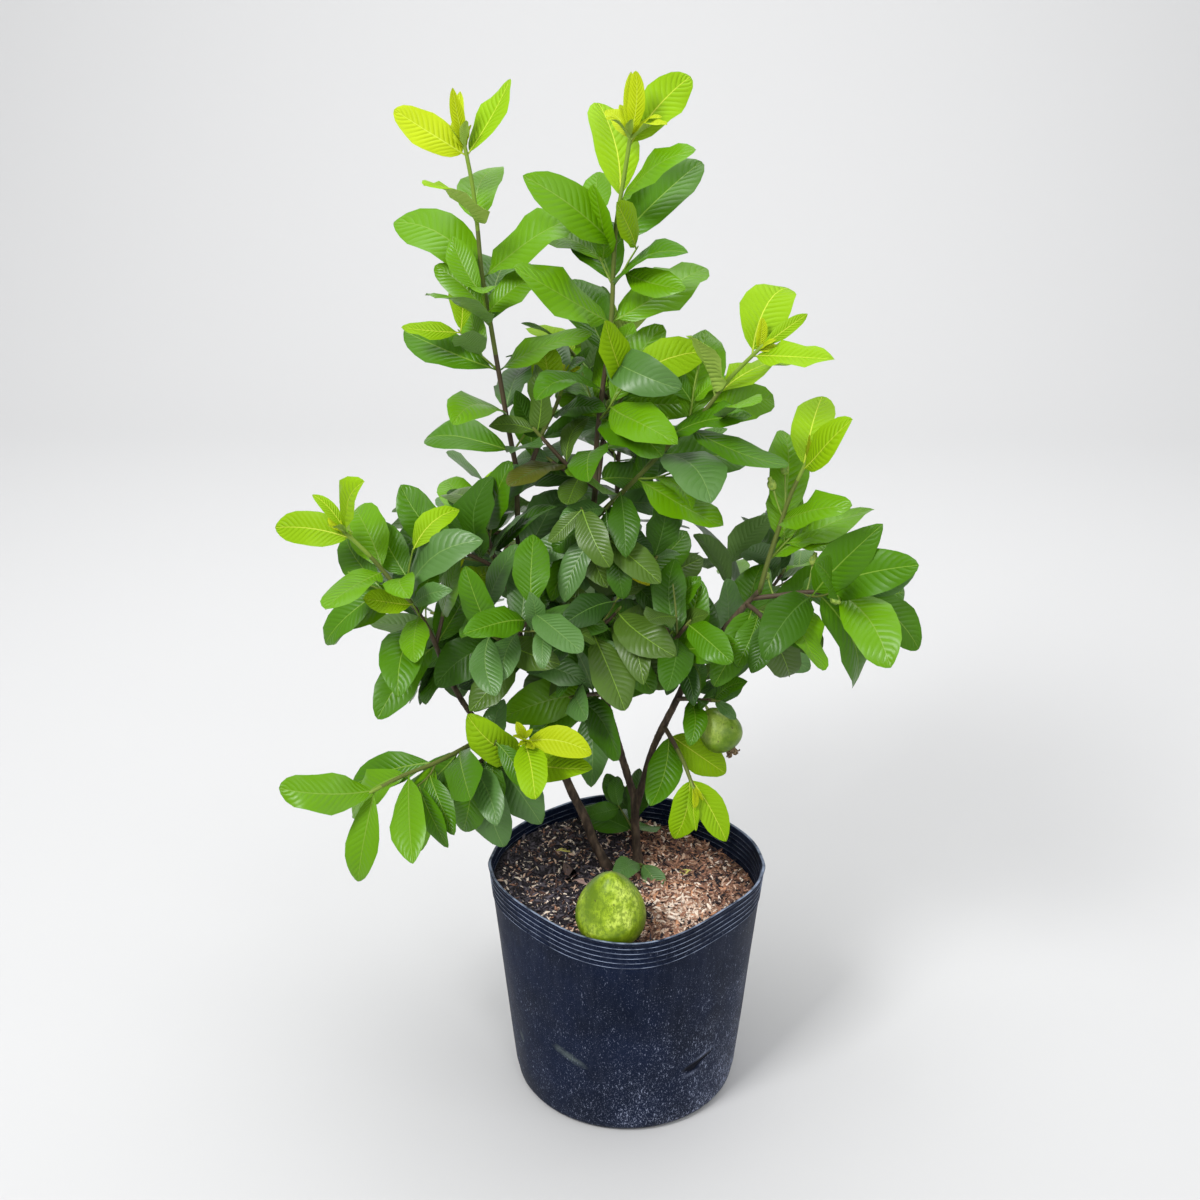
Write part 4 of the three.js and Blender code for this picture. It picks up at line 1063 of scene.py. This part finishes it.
potForm = {"sides": 144, "footRadius": 124, "footRound": 12, "footTurns": (0, 22, 45, 67, 90), "floor": 3,
           "middle": 40, "under": 90, "wall": 2.4, "outerRows": range(22, 229, 10), "innerRows": (228, 190, 100, 15),
           "welts": 5, "weltTop": 260.5, "weltStep": 6.3, "weltHigh": 0.8, "weltHalf": 1.2, "weltFlat": 0.35,
           "crestNear": 0.2, "crestDeep": 0.5, "corner": 0.018, "squareBack": 0.018, "squareFront": 0.054,
           "sag": 1.4, "sagOutside": 100, "sagFrom": 14, "sagOver": 60, "sagScale": 0.014, "sagSquash": 0.7,
           "foldOut": 1.6, "foldWide": 5, "foldDeep": 60, "foldSink": 0.5, "sinkWide": 2.5,
           "mouth": 0.984, "mouthDeep": 120, "mouthPower": 6, "rise": 1.8, "riseFrom": 225, "riseScale": 0.011,
           "riseShift": (7, 3, 1), "smooth": 40}
rimRings = (  # the height where the wall's radius is taken, how far out of it, and the height of the ring
    (263.5, 0, 263.5), (264.8, 1.1, 264.8), (266.6, 1.5, 266.6), (268, 0.9, 267.6), (268, -0.6, 268),
    (268, -2.0, 267.4), (266, -2.7, 266),
)
welts = [potForm["weltTop"] - potForm["weltStep"] * step for step in reversed(range(potForm["welts"]))]
# crest is a pale colour for painted highlights, and fold a dark one for painted shade in the crease; the dust colour
# also paints the highlights along the crease
filmColors = {"deep": (0.001, 0.0044, 0.016), "body": (0.002, 0.0072, 0.027), "dustAndHighlight": (0.38, 0.43, 0.60),
              "crest": (0.24, 0.29, 0.40), "scuff": (0.16, 0.20, 0.18), "fold": (0.0008, 0.002, 0.008)}


def wallRadius(z):
    return between(potForm["footRadius"], growth["rimRadius"], z / growth["potHeight"])


def squareness(x, y, z):
    # corners left, right, front and back, with flatter sides at the front
    square = potForm["squareFront"] if y < 0 else potForm["squareBack"]
    flat = square * (1 - math.cos(4 * math.atan2(y, x)))
    return 1 + (potForm["corner"] - flat) * z / growth["potHeight"]


def weltRings(z, way, inset):
    # one welted line, passed upwards outside or downwards inside
    half, flat = way * potForm["weltHalf"], way * potForm["weltFlat"]
    crest = wallRadius(z) - inset + way * potForm["weltHigh"]
    return [(wallRadius(z - half) - inset, z - half), (crest, z - flat), (crest, z + flat),
            (wallRadius(z + half) - inset, z + half)]


def potRings():
    # up the outside with five welted lines, over the rolled rim, and down the inside
    middle, foot, bend = potForm["middle"], potForm["footRadius"], potForm["footRound"]
    rings = [(middle, 0), (potForm["under"], 0)]
    for turn in map(math.radians, potForm["footTurns"]):
        rings.append((foot - bend * (1 - math.sin(turn)), bend * (1 - math.cos(turn))))
    rings += [(wallRadius(z), z) for z in potForm["outerRows"]]
    for z in welts:
        rings += weltRings(z, 1, 0)
    rings += [(wallRadius(at) + out, z) for at, out, z in rimRings]
    for z in reversed(welts):
        rings += weltRings(z, -1, potForm["wall"])
    rings += [(wallRadius(z) - potForm["wall"], z) for z in potForm["innerRows"]]
    return rings + [(foot - bend, potForm["floor"]), (middle, potForm["floor"])]


def makeFilm():
    finish = Finish("nurseryFilm", filmColors["body"], 0.5, 0.075)
    sideways = finish.sum("ADD", finish.axis("X"), 0.15)
    body = finish.ramp(finish.cloud(14, 5), (0.35, filmColors["deep"]), (0.65, filmColors["body"]))
    # fine pale dust in short streaks, thicker towards the foot and to the right
    low = finish.ramp(finish.axis("Z"), (0.0, 1.0), (0.05, 0.92), (0.10, 0.62), (0.2, 0.3), (0.262, 0.1))
    side = finish.ramp(sideways, (0.06, 0.45), (0.28, 1.0))
    patch = finish.ramp(finish.cloud(26, 6, roughness=0.75), (0.34, 0.3), (0.66, 1.0))
    spread = finish.product(low, side, patch)
    streak = finish.cloud(560, 2, finish.stretched((1, 1, 0.42), (0.25, 0.3, 0)), 0.75)
    grit = finish.fade(finish.sum("MULTIPLY_ADD", spread, 0.15, streak), 0.66, 0.72)
    speck = finish.fade(finish.sum("MULTIPLY_ADD", spread, 0.12, finish.cloud(1100, 1)), 0.68, 0.75)
    worn = finish.product(finish.sum("MAXIMUM", grit, finish.product(speck, 0.7)),
                          finish.sum("MULTIPLY_ADD", spread, 0.8, 0.2))
    # and a thin haze of it, thickest along the right edge
    drawn = finish.fade(finish.cloud(150, 5, finish.stretched((1, 1, 0.12)), 0.7), 0.42, 0.72, 0.026)
    edge = finish.fade(sideways, 0.22, 0.29, 0.034)
    haze = finish.sum("ADD", finish.sum("MAXIMUM", finish.product(spread, 0.034), drawn), finish.product(edge, patch))
    film = finish.mix(finish.sum("MAXIMUM", worn, haze), body, filmColors["dustAndHighlight"])
    # a pale smear low on the left with a scratch beside it, and pale edges where the mouth folds, a painted highlight
    smear = finish.product(finish.spot((-65, -117, 98), (46, 28, 10), 20),
                           finish.cloud(120, 4, finish.stretched((0.5, 1, 2), (0, -0.4, 0)), 0.7))
    nick = finish.spot((-116, -60, 80), (9, 14, 24), -32)
    scuffs = finish.sum("MAXIMUM", finish.fade(smear, 0.16, 0.5, 0.5), finish.fade(nick, 0.55, 0.9, 0.3))
    film = finish.mix(scuffs, film, filmColors["scuff"])
    # painted highlights down the folded left and right corners
    cornerHighlights = finish.sum("ADD", *[finish.spot((x, -16, 257), (10, 22, 24)) for x in (-149, 149)])
    cornerHighlights = finish.fade(finish.product(cornerHighlights, finish.cloud(90, 4)), 0.12, 0.4, 0.6)
    film = finish.mix(cornerHighlights, film, filmColors["crest"])
    # a crease low on the right, with painted shade in it and painted highlights along its upper and lower edges
    crease = finish.sum("ADD", finish.spot((84, -101, 81), (27, 26, 3), -12),
                        finish.spot((73, -108, 76), (13, 22, 6), -6))
    lit = finish.sum("ADD", finish.spot((88, -99, 87), (24, 26, 4), -14),
                     finish.spot((72, -109, 68), (16, 22, 4), -4))
    film = finish.mix(finish.fade(lit, 0.15, 0.9, 0.2), film, filmColors["dustAndHighlight"])
    # painted shade in the crease, in the dark fold colour
    finish.paint(finish.mix(finish.fade(crease, 0.15, 0.55), film, filmColors["fold"]))
    finish.gloss(30, 4, 0.36, 0.62)
    finish.relief((7, 3, 3.6, 0.8), (60, 4, 0.5, 0.5))
    finish.bump(finish.product(finish.sum("SMOOTH_MIN", crease, 0.6, 0.2), -1), 5.0)
    finish.relief((900, 2, 0.06, 0.4))
    return finish.material


# the paler finish of the crests: a painted highlight, mottled into the body colour
def makeCrestHighlight():
    finish = Finish("filmCrestHighlight", filmColors["crest"], 0.45, 0.3)
    finish.paint(finish.ramp(finish.cloud(60, 4), (0.35, filmColors["body"]), (0.6, filmColors["crest"])))
    finish.gloss(90, 3, 0.32, 0.5)
    finish.relief((500, 2, 0.1, 0.4))
    return finish.material


def potPlace(x, y, z):
    form, radius, below = potForm, math.hypot(x, y), growth["potHeight"] - z
    push = squareness(x, y, z)
    if radius > form["sagOutside"] and z > form["sagFrom"]:
        # the film sags a little between its stiffer places
        sag = noise.noise(Vector((x, y, z * form["sagSquash"])) * form["sagScale"]) * form["sag"]
        push *= 1 + sag * min(1, (z - form["sagFrom"]) / form["sagOver"]) / radius
        # the mouth is pinched into a fold at its left and right corners, and drawn in a little there
        aside = math.degrees(math.asin(min(1, abs(y) / radius))) / form["foldWide"]
        fold = math.exp(-aside ** 2) - form["foldSink"] * math.exp(-(aside / form["sinkWide"]) ** 2)
        push *= 1 + form["foldOut"] * max(0, 1 - below / form["foldDeep"]) ** 2 * fold / radius
        push *= between(1, form["mouth"], max(0, 1 - below / form["mouthDeep"]) * (x / radius) ** form["mouthPower"])
    if z > form["riseFrom"]:  # and its edge isn't quite level
        lift = form["rise"] * noise.noise(Vector((x, y, 0)) * form["riseScale"] + Vector(form["riseShift"]))
        z += lift * (z - form["riseFrom"]) / (growth["potHeight"] - form["riseFrom"])
    return x * push, y * push, z


def buildPot():
    pot = turnedPiece(potRings(), potForm["sides"])
    for material in (makeFilm(), makeCrestHighlight()):
        pot.data.materials.append(material)
    # the crests of the welted lines and the top of the rim get the paler finish, a painted highlight
    for face in pot.data.polygons:  # the crests of the welted lines and of the rim catch the light
        height = face.center.z / mm
        near = any(abs(height - line) < potForm["crestNear"] for line in welts)
        face.material_index = int(near or height > growth["potHeight"] - potForm["crestDeep"])
    reshape(pot, potPlace)
    shadeSmooth(pot, potForm["smooth"])
    return pot


# ---- potting mix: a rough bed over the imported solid, and husks strewn on it

mixForm = {"flat": 62, "slope": 0.07, "dip": 9, "edge": 143, "rows": 46, "sides": 120, "skirt": (0.5, 14),
           "lumps": (4.2, 0.05), "crumbs": (1.6, 0.22), "proud": 1.2, "near": 1}
huskForm = {"count": 8200, "long": (3.0, 10.5), "longPower": 1.9, "wide": (0.2, 0.42), "thick": (0.08, 0.2),
            "bend": 0.18, "seed": 77, "tips": (0.7, 0.9), "lift": (0.5, 1.9), "fromEdge": 4, "paleAt": (66, -62),
            "paleReach": 48, "paleShare": 0.55, "brownFrom": 62}
huskRings = ((-0.5, 0.35), (0, 1), (0.5, 0.45))  # place along it and share of its width
huskCorners = ((-1, -0.5), (1, -0.5), (0.8, 0.5), (-0.8, 0.5))
huskFinish = {"roughness": 0.9, "specular": 0.25, "relief": (900, 4, 0.5, 0.8), "gloss": (500, 2, 0.75, 1.0)}
rustForm = {"slant": 0.12, "play": 26, "layer": 4, "scale": 0.03, "from": -8, "to": 34}
huskColors = {
    "blackHusk": (0.024, 0.020, 0.025), "slateHusk": (0.11, 0.096, 0.115), "umberHusk": (0.13, 0.07, 0.055),
    "rustHusk": (0.37, 0.19, 0.125), "orangeHusk": (0.60, 0.30, 0.17), "tanHusk": (0.68, 0.47, 0.35),
    "paleHusk": (0.88, 0.74, 0.62),
}
huskShares = {  # how often each tone lies on the dark side and on the rusty side
    "dark": (("blackHusk", 0.48), ("slateHusk", 0.26), ("umberHusk", 0.08), ("tanHusk", 0.06), ("paleHusk", 0.09),
             ("rustHusk", 0.03)),
    "rusty": (("blackHusk", 0.13), ("umberHusk", 0.17), ("rustHusk", 0.24), ("orangeHusk", 0.14), ("tanHusk", 0.20),
              ("paleHusk", 0.12)),
    "brown": (("blackHusk", 0.26), ("umberHusk", 0.28), ("rustHusk", 0.24), ("orangeHusk", 0.06), ("tanHusk", 0.10),
              ("paleHusk", 0.06)),
}


def smoothStep(value, low, high):
    share = min(max((value - low) / (high - low), 0), 1)
    return share * share * (3 - 2 * share)


def mixHeight(x, y):
    outer = smoothStep(math.hypot(x, y), mixForm["flat"], growth["rimRadius"])
    dip = max(0, (x + y) / (growth["rimRadius"] * math.sqrt(2)))
    return growth["mixLevel"] - outer * (mixForm["slope"] * x + mixForm["dip"] * dip)


def bedHeight(x, y):
    spot, (lump, lumpScale), (crumb, crumbScale) = Vector((x, y, 0)), mixForm["lumps"], mixForm["crumbs"]
    rough = lump * abs(noise.noise(spot * lumpScale)) + crumb * (0.5 + noise.noise(spot * crumbScale))
    return mixHeight(x, y) + mixForm["proud"] + rough


def rustiness(x, y):
    # near-black husks to the left, rusty ones to the right
    play = rustForm["play"] * noise.noise(Vector((x, y, rustForm["layer"])) * rustForm["scale"])
    return smoothStep(x + rustForm["slant"] * y + play, rustForm["from"], rustForm["to"])


def makeMix():
    finish = Finish("pottingMix", (0.05, 0.03, 0.02), 0.95, 0.2)
    play = finish.sum("MULTIPLY_ADD", finish.cloud(30, 3), 0.06, -0.03)
    side = finish.fade(finish.sum("ADD", finish.axis("X"), play), 0.0, 0.035)
    dark = finish.ramp(finish.cloud(420, 5), (0.38, (0.011, 0.009, 0.012)), (0.7, (0.13, 0.115, 0.135)))
    rust = finish.ramp(finish.cloud(380, 5), (0.3, (0.14, 0.07, 0.05)), (0.5, (0.42, 0.22, 0.14)),
                       (0.72, (0.78, 0.54, 0.40)))
    palest = finish.spot((*huskForm["paleAt"], growth["mixLevel"]), (52, 44, 30))
    worn = finish.fade(finish.product(palest, finish.cloud(160, 3)), 0.08, 0.5, 0.8)
    finish.paint(finish.mix(worn, finish.mix(side, dark, rust), (0.86, 0.68, 0.54)))
    finish.gloss(200, 2, 0.85, 1.0)
    finish.bump(finish.cloud(330, 6, roughness=0.7), 2.4)
    return finish.material


def buildBed():
    level, edge, rows, near = growth["mixLevel"], mixForm["edge"], mixForm["rows"], mixForm["near"]
    inset, deep = mixForm["skirt"]
    rings = [(edge - inset, level - deep)] + [(edge * (1 - row / rows), level) for row in range(rows)]
    bed = turnedPiece(rings, mixForm["sides"])

    def bedPlace(x, y, z):
        push = squareness(x, y, level)
        if z > level - near:
            z = bedHeight(x, y) if math.hypot(x, y) < edge - near else mixHeight(x, y) + near
        return x * push, y * push, z

    reshape(bed, bedPlace)
    bpy.ops.object.shade_smooth()
    bed.data.materials.append(makeMix())
    return bed


def huskShape(draw, size):
    # a curled sliver, thin and a little bent
    wide, thick = size * between(*huskForm["wide"], draw()), size * between(*huskForm["thick"], draw())
    bend = size * huskForm["bend"] * swing(draw)
    return np.array([(along * size, 0.5 * wide * side * share,
                      thick * height * share + bend * (1 - 4 * along ** 2))
                     for along, share in huskRings for side, height in huskCorners])


def dealt(shares, pick):
    for name, share in shares:
        pick -= share
        if pick < 0:
            return name
    return shares[-1][0]


def buildHusks():
    draw = randomFrom(huskForm["seed"])
    faces = tubeFaces(len(huskRings), len(huskCorners))
    gathered, names, (tipOne, tipTwo) = Gathered(), list(huskColors), huskForm["tips"]
    for _ in range(huskForm["count"]):
        angle, radius = 2 * math.pi * draw(), (mixForm["edge"] - huskForm["fromEdge"]) * math.sqrt(draw())
        x, y = radius * math.cos(angle), radius * math.sin(angle)
        size = between(*huskForm["long"], draw() ** huskForm["longPower"])
        shape, pick = huskShape(draw, size), draw()
        side = ("brown" if x + y > huskForm["brownFrom"] else "rusty") if rustiness(x, y) > draw() else "dark"
        pale = huskForm["paleShare"] * max(0, 1 - math.dist((x, y), huskForm["paleAt"]) / huskForm["paleReach"])
        tone = names.index("paleHusk" if draw() < pale else dealt(huskShares[side], pick))
        turn = (Matrix.Rotation(2 * math.pi * draw(), 3, "Z") @ Matrix.Rotation(tipOne * swing(draw), 3, "Y")
                @ Matrix.Rotation(tipTwo * swing(draw), 3, "X"))
        push = squareness(x, y, growth["mixLevel"])
        place = np.array((x * push, y * push, bedHeight(x, y) + between(*huskForm["lift"], draw())))
        gathered.add(shape @ np.array(turn).T + place, faces, [tone] * len(faces))
    materials = [plainMaterial(name, color, **huskFinish) for name, color in huskColors.items()]
    return gathered.piece(materials, smooth=False)


# ---- guavas

guavaSkins = {  # spots is how fine the freckles are
    "looseSkin": {"dark": (0.11, 0.19, 0.004), "main": (0.29, 0.42, 0.016), "pale": (0.60, 0.74, 0.12),
                  "freckled": 0.75, "spots": 300},
    "hangingSkin": {"dark": (0.06, 0.13, 0.004), "main": (0.13, 0.23, 0.010), "pale": (0.29, 0.40, 0.06),
                    "freckled": 0.3, "spots": 380},
}
# where each gets a painted highlight on its lit front, palest there:
# the loose one's place, and the hanging one's shift from its middle, in millimetres
highlightSpot = {"loose": (-4, -134, 300), "hanging": (-4, -19, 10), "size": 34, "strength": 0.3}
wobbleForm = {"bumps": 0.9, "bumpScale": 1.9, "ribs": 0.006, "ribCount": 5}
calyxForm = {"lobes": 5, "steps": 5, "turn": 0.3, "from": 0.10, "reach": 0.10, "drop": (0.16, 2.2), "half": 0.085,
             "tip": 0.05, "thick": 0.03}
fruitStalk = {"sunk": 4, "neck": 3, "radii": (2.4, 1.5, 1.7)}


def makeSkin(name, highlightAt):
    # mottled in broad clouds, with a painted highlight on its lit side, freckled finely, with a few brown pin marks
    skin = guavaSkins[name]
    finish = Finish(name, skin["main"], 0.36, 0.3)
    paintedHighlight = finish.product(finish.spot(highlightAt, [highlightSpot["size"]] * 3), highlightSpot["strength"])
    wide = finish.ramp(finish.sum("ADD", finish.cloud(34, 6, roughness=0.62), paintedHighlight),
                       (0.43, skin["dark"]), (0.60, skin["main"]), (0.74, skin["pale"]))
    freckle = finish.cloud(skin["spots"], 5, finish.stretched((1, 1, 0.6)), 0.75)
    freckle = finish.product(finish.fade(freckle, 0.46, 0.56), skin["freckled"])
    speckled = finish.mix(freckle, wide, skin["dark"])
    pins = finish.fade(finish.cloud(230, 2), 0.69, 0.73, 0.8)
    finish.paint(finish.mix(pins, speckled, (0.07, 0.06, 0.02)))
    finish.gloss(120, 3, 0.28, 0.46)
    finish.relief((85, 3, 1.1, 0.6), (420, 3, 0.35, 0.7))
    return finish.material


def guavaBody(guava):
    # rings crowd towards both ends, where one face closes it
    seed, gap, last = guava["seed"], guavaForm["endGap"], guava["rings"]
    turns = [math.pi * (step + gap) / (last + 2 * gap) for step in range(last + 1)]
    body = turnedPiece([guavaProfile(guava, 0.5 - 0.5 * math.cos(turn)) for turn in turns], guava["sides"])

    def wobbled(x, y, z):
        bumps = noise.noise(Vector((x, y, z)) * (wobbleForm["bumpScale"] / guava["width"]) + Vector((seed, 0, 0)))
        ribs = wobbleForm["ribs"] * math.cos(wobbleForm["ribCount"] * math.atan2(y, x) + seed)
        push = 1 + ribs + wobbleForm["bumps"] * bumps / (guava["width"] / 2)
        return x * push, y * push, z

    reshape(body, wobbled)
    return body


def calyx(width):
    # short dry lobes round the flower end, which faces down
    form, gathered = calyxForm, Gathered()
    faces = tubeFaces(form["steps"], 4)
    drop, bend = form["drop"]
    for lobe in range(form["lobes"]):
        angle = 2 * math.pi * lobe / form["lobes"] + form["turn"]
        outward = np.array((math.cos(angle), math.sin(angle), 0))
        aside = np.array((-math.sin(angle), math.cos(angle), 0))
        inward, rows = outward * width * form["thick"], []
        for share in np.linspace(0, 1, form["steps"]):
            reach = form["from"] + form["reach"] * share
            centre = outward * width * reach - up * width * drop * math.sin(share * bend)
            half = aside * width * form["half"] * math.sqrt(max(form["tip"], 1 - share))
            rows += [centre - half, centre + half, centre + half - inward, centre - half - inward]
        gathered.add(np.array(rows), faces, [0] * len(faces))
    finish = Finish("driedCalyx", (0.10, 0.055, 0.028), 0.85, 0.3)
    finish.paint(finish.ramp(finish.cloud(500, 3), (0.35, (0.05, 0.028, 0.015)), (0.65, (0.30, 0.21, 0.12))))
    finish.relief((700, 3, 0.4, 0.8))
    return gathered.piece([finish.material])


def buildLooseGuava():
    guava = guavaBody(looseGuava)
    guava.data.materials.append(makeSkin("looseSkin", highlightSpot["loose"]))
    x, y = looseGuava["x"], looseGuava["y"]
    place = Matrix.Translation(Vector((x, y, mixHeight(x, y) + looseGuava["lift"])) * mm)
    guava.data.transform(place @ Matrix.Rotation(math.radians(looseGuava["lean"]), 4, "X"))
    shadeSmooth(guava, guavaForm["smooth"])
    return guava


def buildHangingGuava():
    high = hangingGuava["height"]
    guava = guavaBody({**hangingGuava, "taper": hangingGuava["neck"]})
    highlightAt = fruitShoulder + fruitHang * (0.5 * high) + np.array(highlightSpot["hanging"])
    guava.data.materials.append(makeSkin("hangingSkin", highlightAt))
    stalk = Gathered()
    heights = (high - fruitStalk["sunk"], high + fruitStalk["neck"], high + guavaForm["stalkLength"])
    addTube(stalk, [up * height for height in heights], fruitStalk["radii"], (0,))
    green = plainMaterial("fruitStalk", (0.20, 0.26, 0.06), 0.6, 0.4, (800, 3, 0.3, 0.6))
    guava = joined(guava, calyx(hangingGuava["width"]), stalk.piece([green]))
    # its flower end is at the origin, so it is turned to hang and moved under its shoot
    turn = Vector(up).rotation_difference(Vector(-fruitHang)).to_matrix().to_4x4()
    guava.data.transform(Matrix.Translation(Vector(fruitShoulder + fruitHang * high) * mm) @ turn)
    shadeSmooth(guava, guavaForm["smooth"])
    return guava


# ---- young fruits on their stalks, and dry leaves on the mix

youngFruits = (  # mass, place along its shoot, heading, climb, stalk, radius
    ("left_outer", 0.25, 95, 66, 27, 4.8), ("right_top", 0.56, 165, 66, 26, 4.6),
    ("right_top", 0.62, 100, 74, 30, 4.2), ("right_outer", 0.5, 60, 62, 24, 4.6),
    ("right_outer", 0.66, -70, -5, 18, 5.0), ("right_outer", 0.2, 130, 55, 16, 3.2),
    ("back", 0.4, 110, 60, 24, 4.6), ("leader_back", 0.45, 70, 50, 22, 4.4),
)
# the fruit's profile as shares of its length and of its radius
youngForm = {"profile": ((0, 0.4), (0.12, 0.8), (0.45, 1.05), (0.8, 0.92), (1.0, 0.5), (1.12, 0.55), (1.3, 0.42)),
             "long": 2.3, "steps": 2, "stalkRadii": (1.0, 0.8, 1.1), "stalkRise": 0.15}


def buildYoungFruits():
    gathered = Gathered()
    shares, wides = zip(*youngForm["profile"])
    for name, along, heading, climb, stalkLength, radius in youngFruits:
        start = pointAt(massByName[name]["points"], along)
        stalk = directionOf(heading, climb) * stalkLength
        end = start + stalk + up * stalkLength * youngForm["stalkRise"]
        addTube(gathered, [start, start + stalk * 0.5, end], youngForm["stalkRadii"], (0,))
        axis = unit(end - start) * youngForm["long"] * radius
        addTube(gathered, [end + axis * share for share in shares], [wide * radius for wide in wides], (1,),
                youngForm["steps"])
    skin = Finish("youngSkin", (0.24, 0.36, 0.04), 0.5, 0.4)
    skin.paint(skin.ramp(skin.cloud(260, 4), (0.35, (0.14, 0.26, 0.03)), (0.6, (0.36, 0.48, 0.08))))
    skin.relief((600, 3, 0.3, 0.6))
    stalkSkin = plainMaterial("youngStalk", (0.22, 0.32, 0.05), 0.6, 0.4, (800, 3, 0.2, 0.5))
    return gathered.piece([stalkSkin, skin.material])


dryLeaves = (  # place, heading, climb, length, how far it curls, and tone
    (-80, 52, 25, 8, 42, 2.4, "strawLeaf"), (-72, 30, -75, 4, 46, 1.3, "umberLeaf"),
    (-58, -6, -20, 10, 38, 1.8, "pinkLeaf"), (-62, 96, 160, 5, 40, 1.1, "pinkLeaf"),
    (72, 18, 200, 10, 20, 1.6, "strawLeaf"), (108, 46, 120, 6, 22, 1.5, "pinkLeaf"),
)
dryTones = {"strawLeaf": (0.66, 0.60, 0.16), "umberLeaf": (0.13, 0.085, 0.075), "pinkLeaf": (0.44, 0.29, 0.26)}
dryForm = {"seed": 61, "lift": 3.5, "lowest": 1, "width": 0.42, "fold": (20, 50)}
dryKind = {"gloss": (0.6, 0.85), "specular": 0.25, "veins": 0.8}


def buildDryLeaves():
    rows = leafMesh["fineRows"]
    faces, draw = leafFaces(rows)[0], randomFrom(dryForm["seed"])
    gathered, tones = Gathered(), list(dryTones)
    for x, y, heading, climb, length, curl, tone in dryLeaves:
        bed = bedHeight(x, y)
        leaf = newLeaf(np.array((x, y, bed + dryForm["lift"])), directionOf(heading, climb), up, length,
                       dryForm["width"] * length, curl, fold=dryForm["fold"])
        points, marks = leafPoints(leaf, draw, rows)
        points[:, 2] = np.maximum(points[:, 2], bed + dryForm["lowest"])
        gathered.add(points, faces, [tones.index(tone)] * len(faces), marks)
    return gathered.piece([leafMaterial(tone, color, dryKind) for tone, color in dryTones.items()])


# ---- everything is built, tied to the row and measured

limbNames = [row[0] for row in limbRows]
foliageNames = [row[0] + "_foliage" for row in massRows]
settle(buildWood(), "stemsAndBoughs", "bark", *limbNames)
settle(buildTwigs(), "leafyTwigs", "leaf", *foliageNames)
for piece, name in buildLeaves():
    settle(piece, name, "leaf", *foliageNames)
settle(buildPot(), "filmPot", "film", "pot")
settle(buildBed(), "mixBed", "mix")
settle(buildHusks(), "strewnHusks", "mix")
settle(buildLooseGuava(), "looseFruit", "fruit", "loose_guava")
settle(buildHangingGuava(), "hangingFruit", "fruit")
settle(buildYoungFruits(), "youngFruits", "fruit")
settle(buildDryLeaves(), "dryLeaves", "leaf")
mixSolid = cadNodes["potting_mix"].data
mixSolid.materials.clear()
mixSolid.materials.append(makeMix())

lookLow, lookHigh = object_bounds()
say(f"cad box {[round(v, 3) for v in (*cadLow, *cadHigh)]}, looks {[round(v, 3) for v in (*lookLow, *lookHigh)]}")
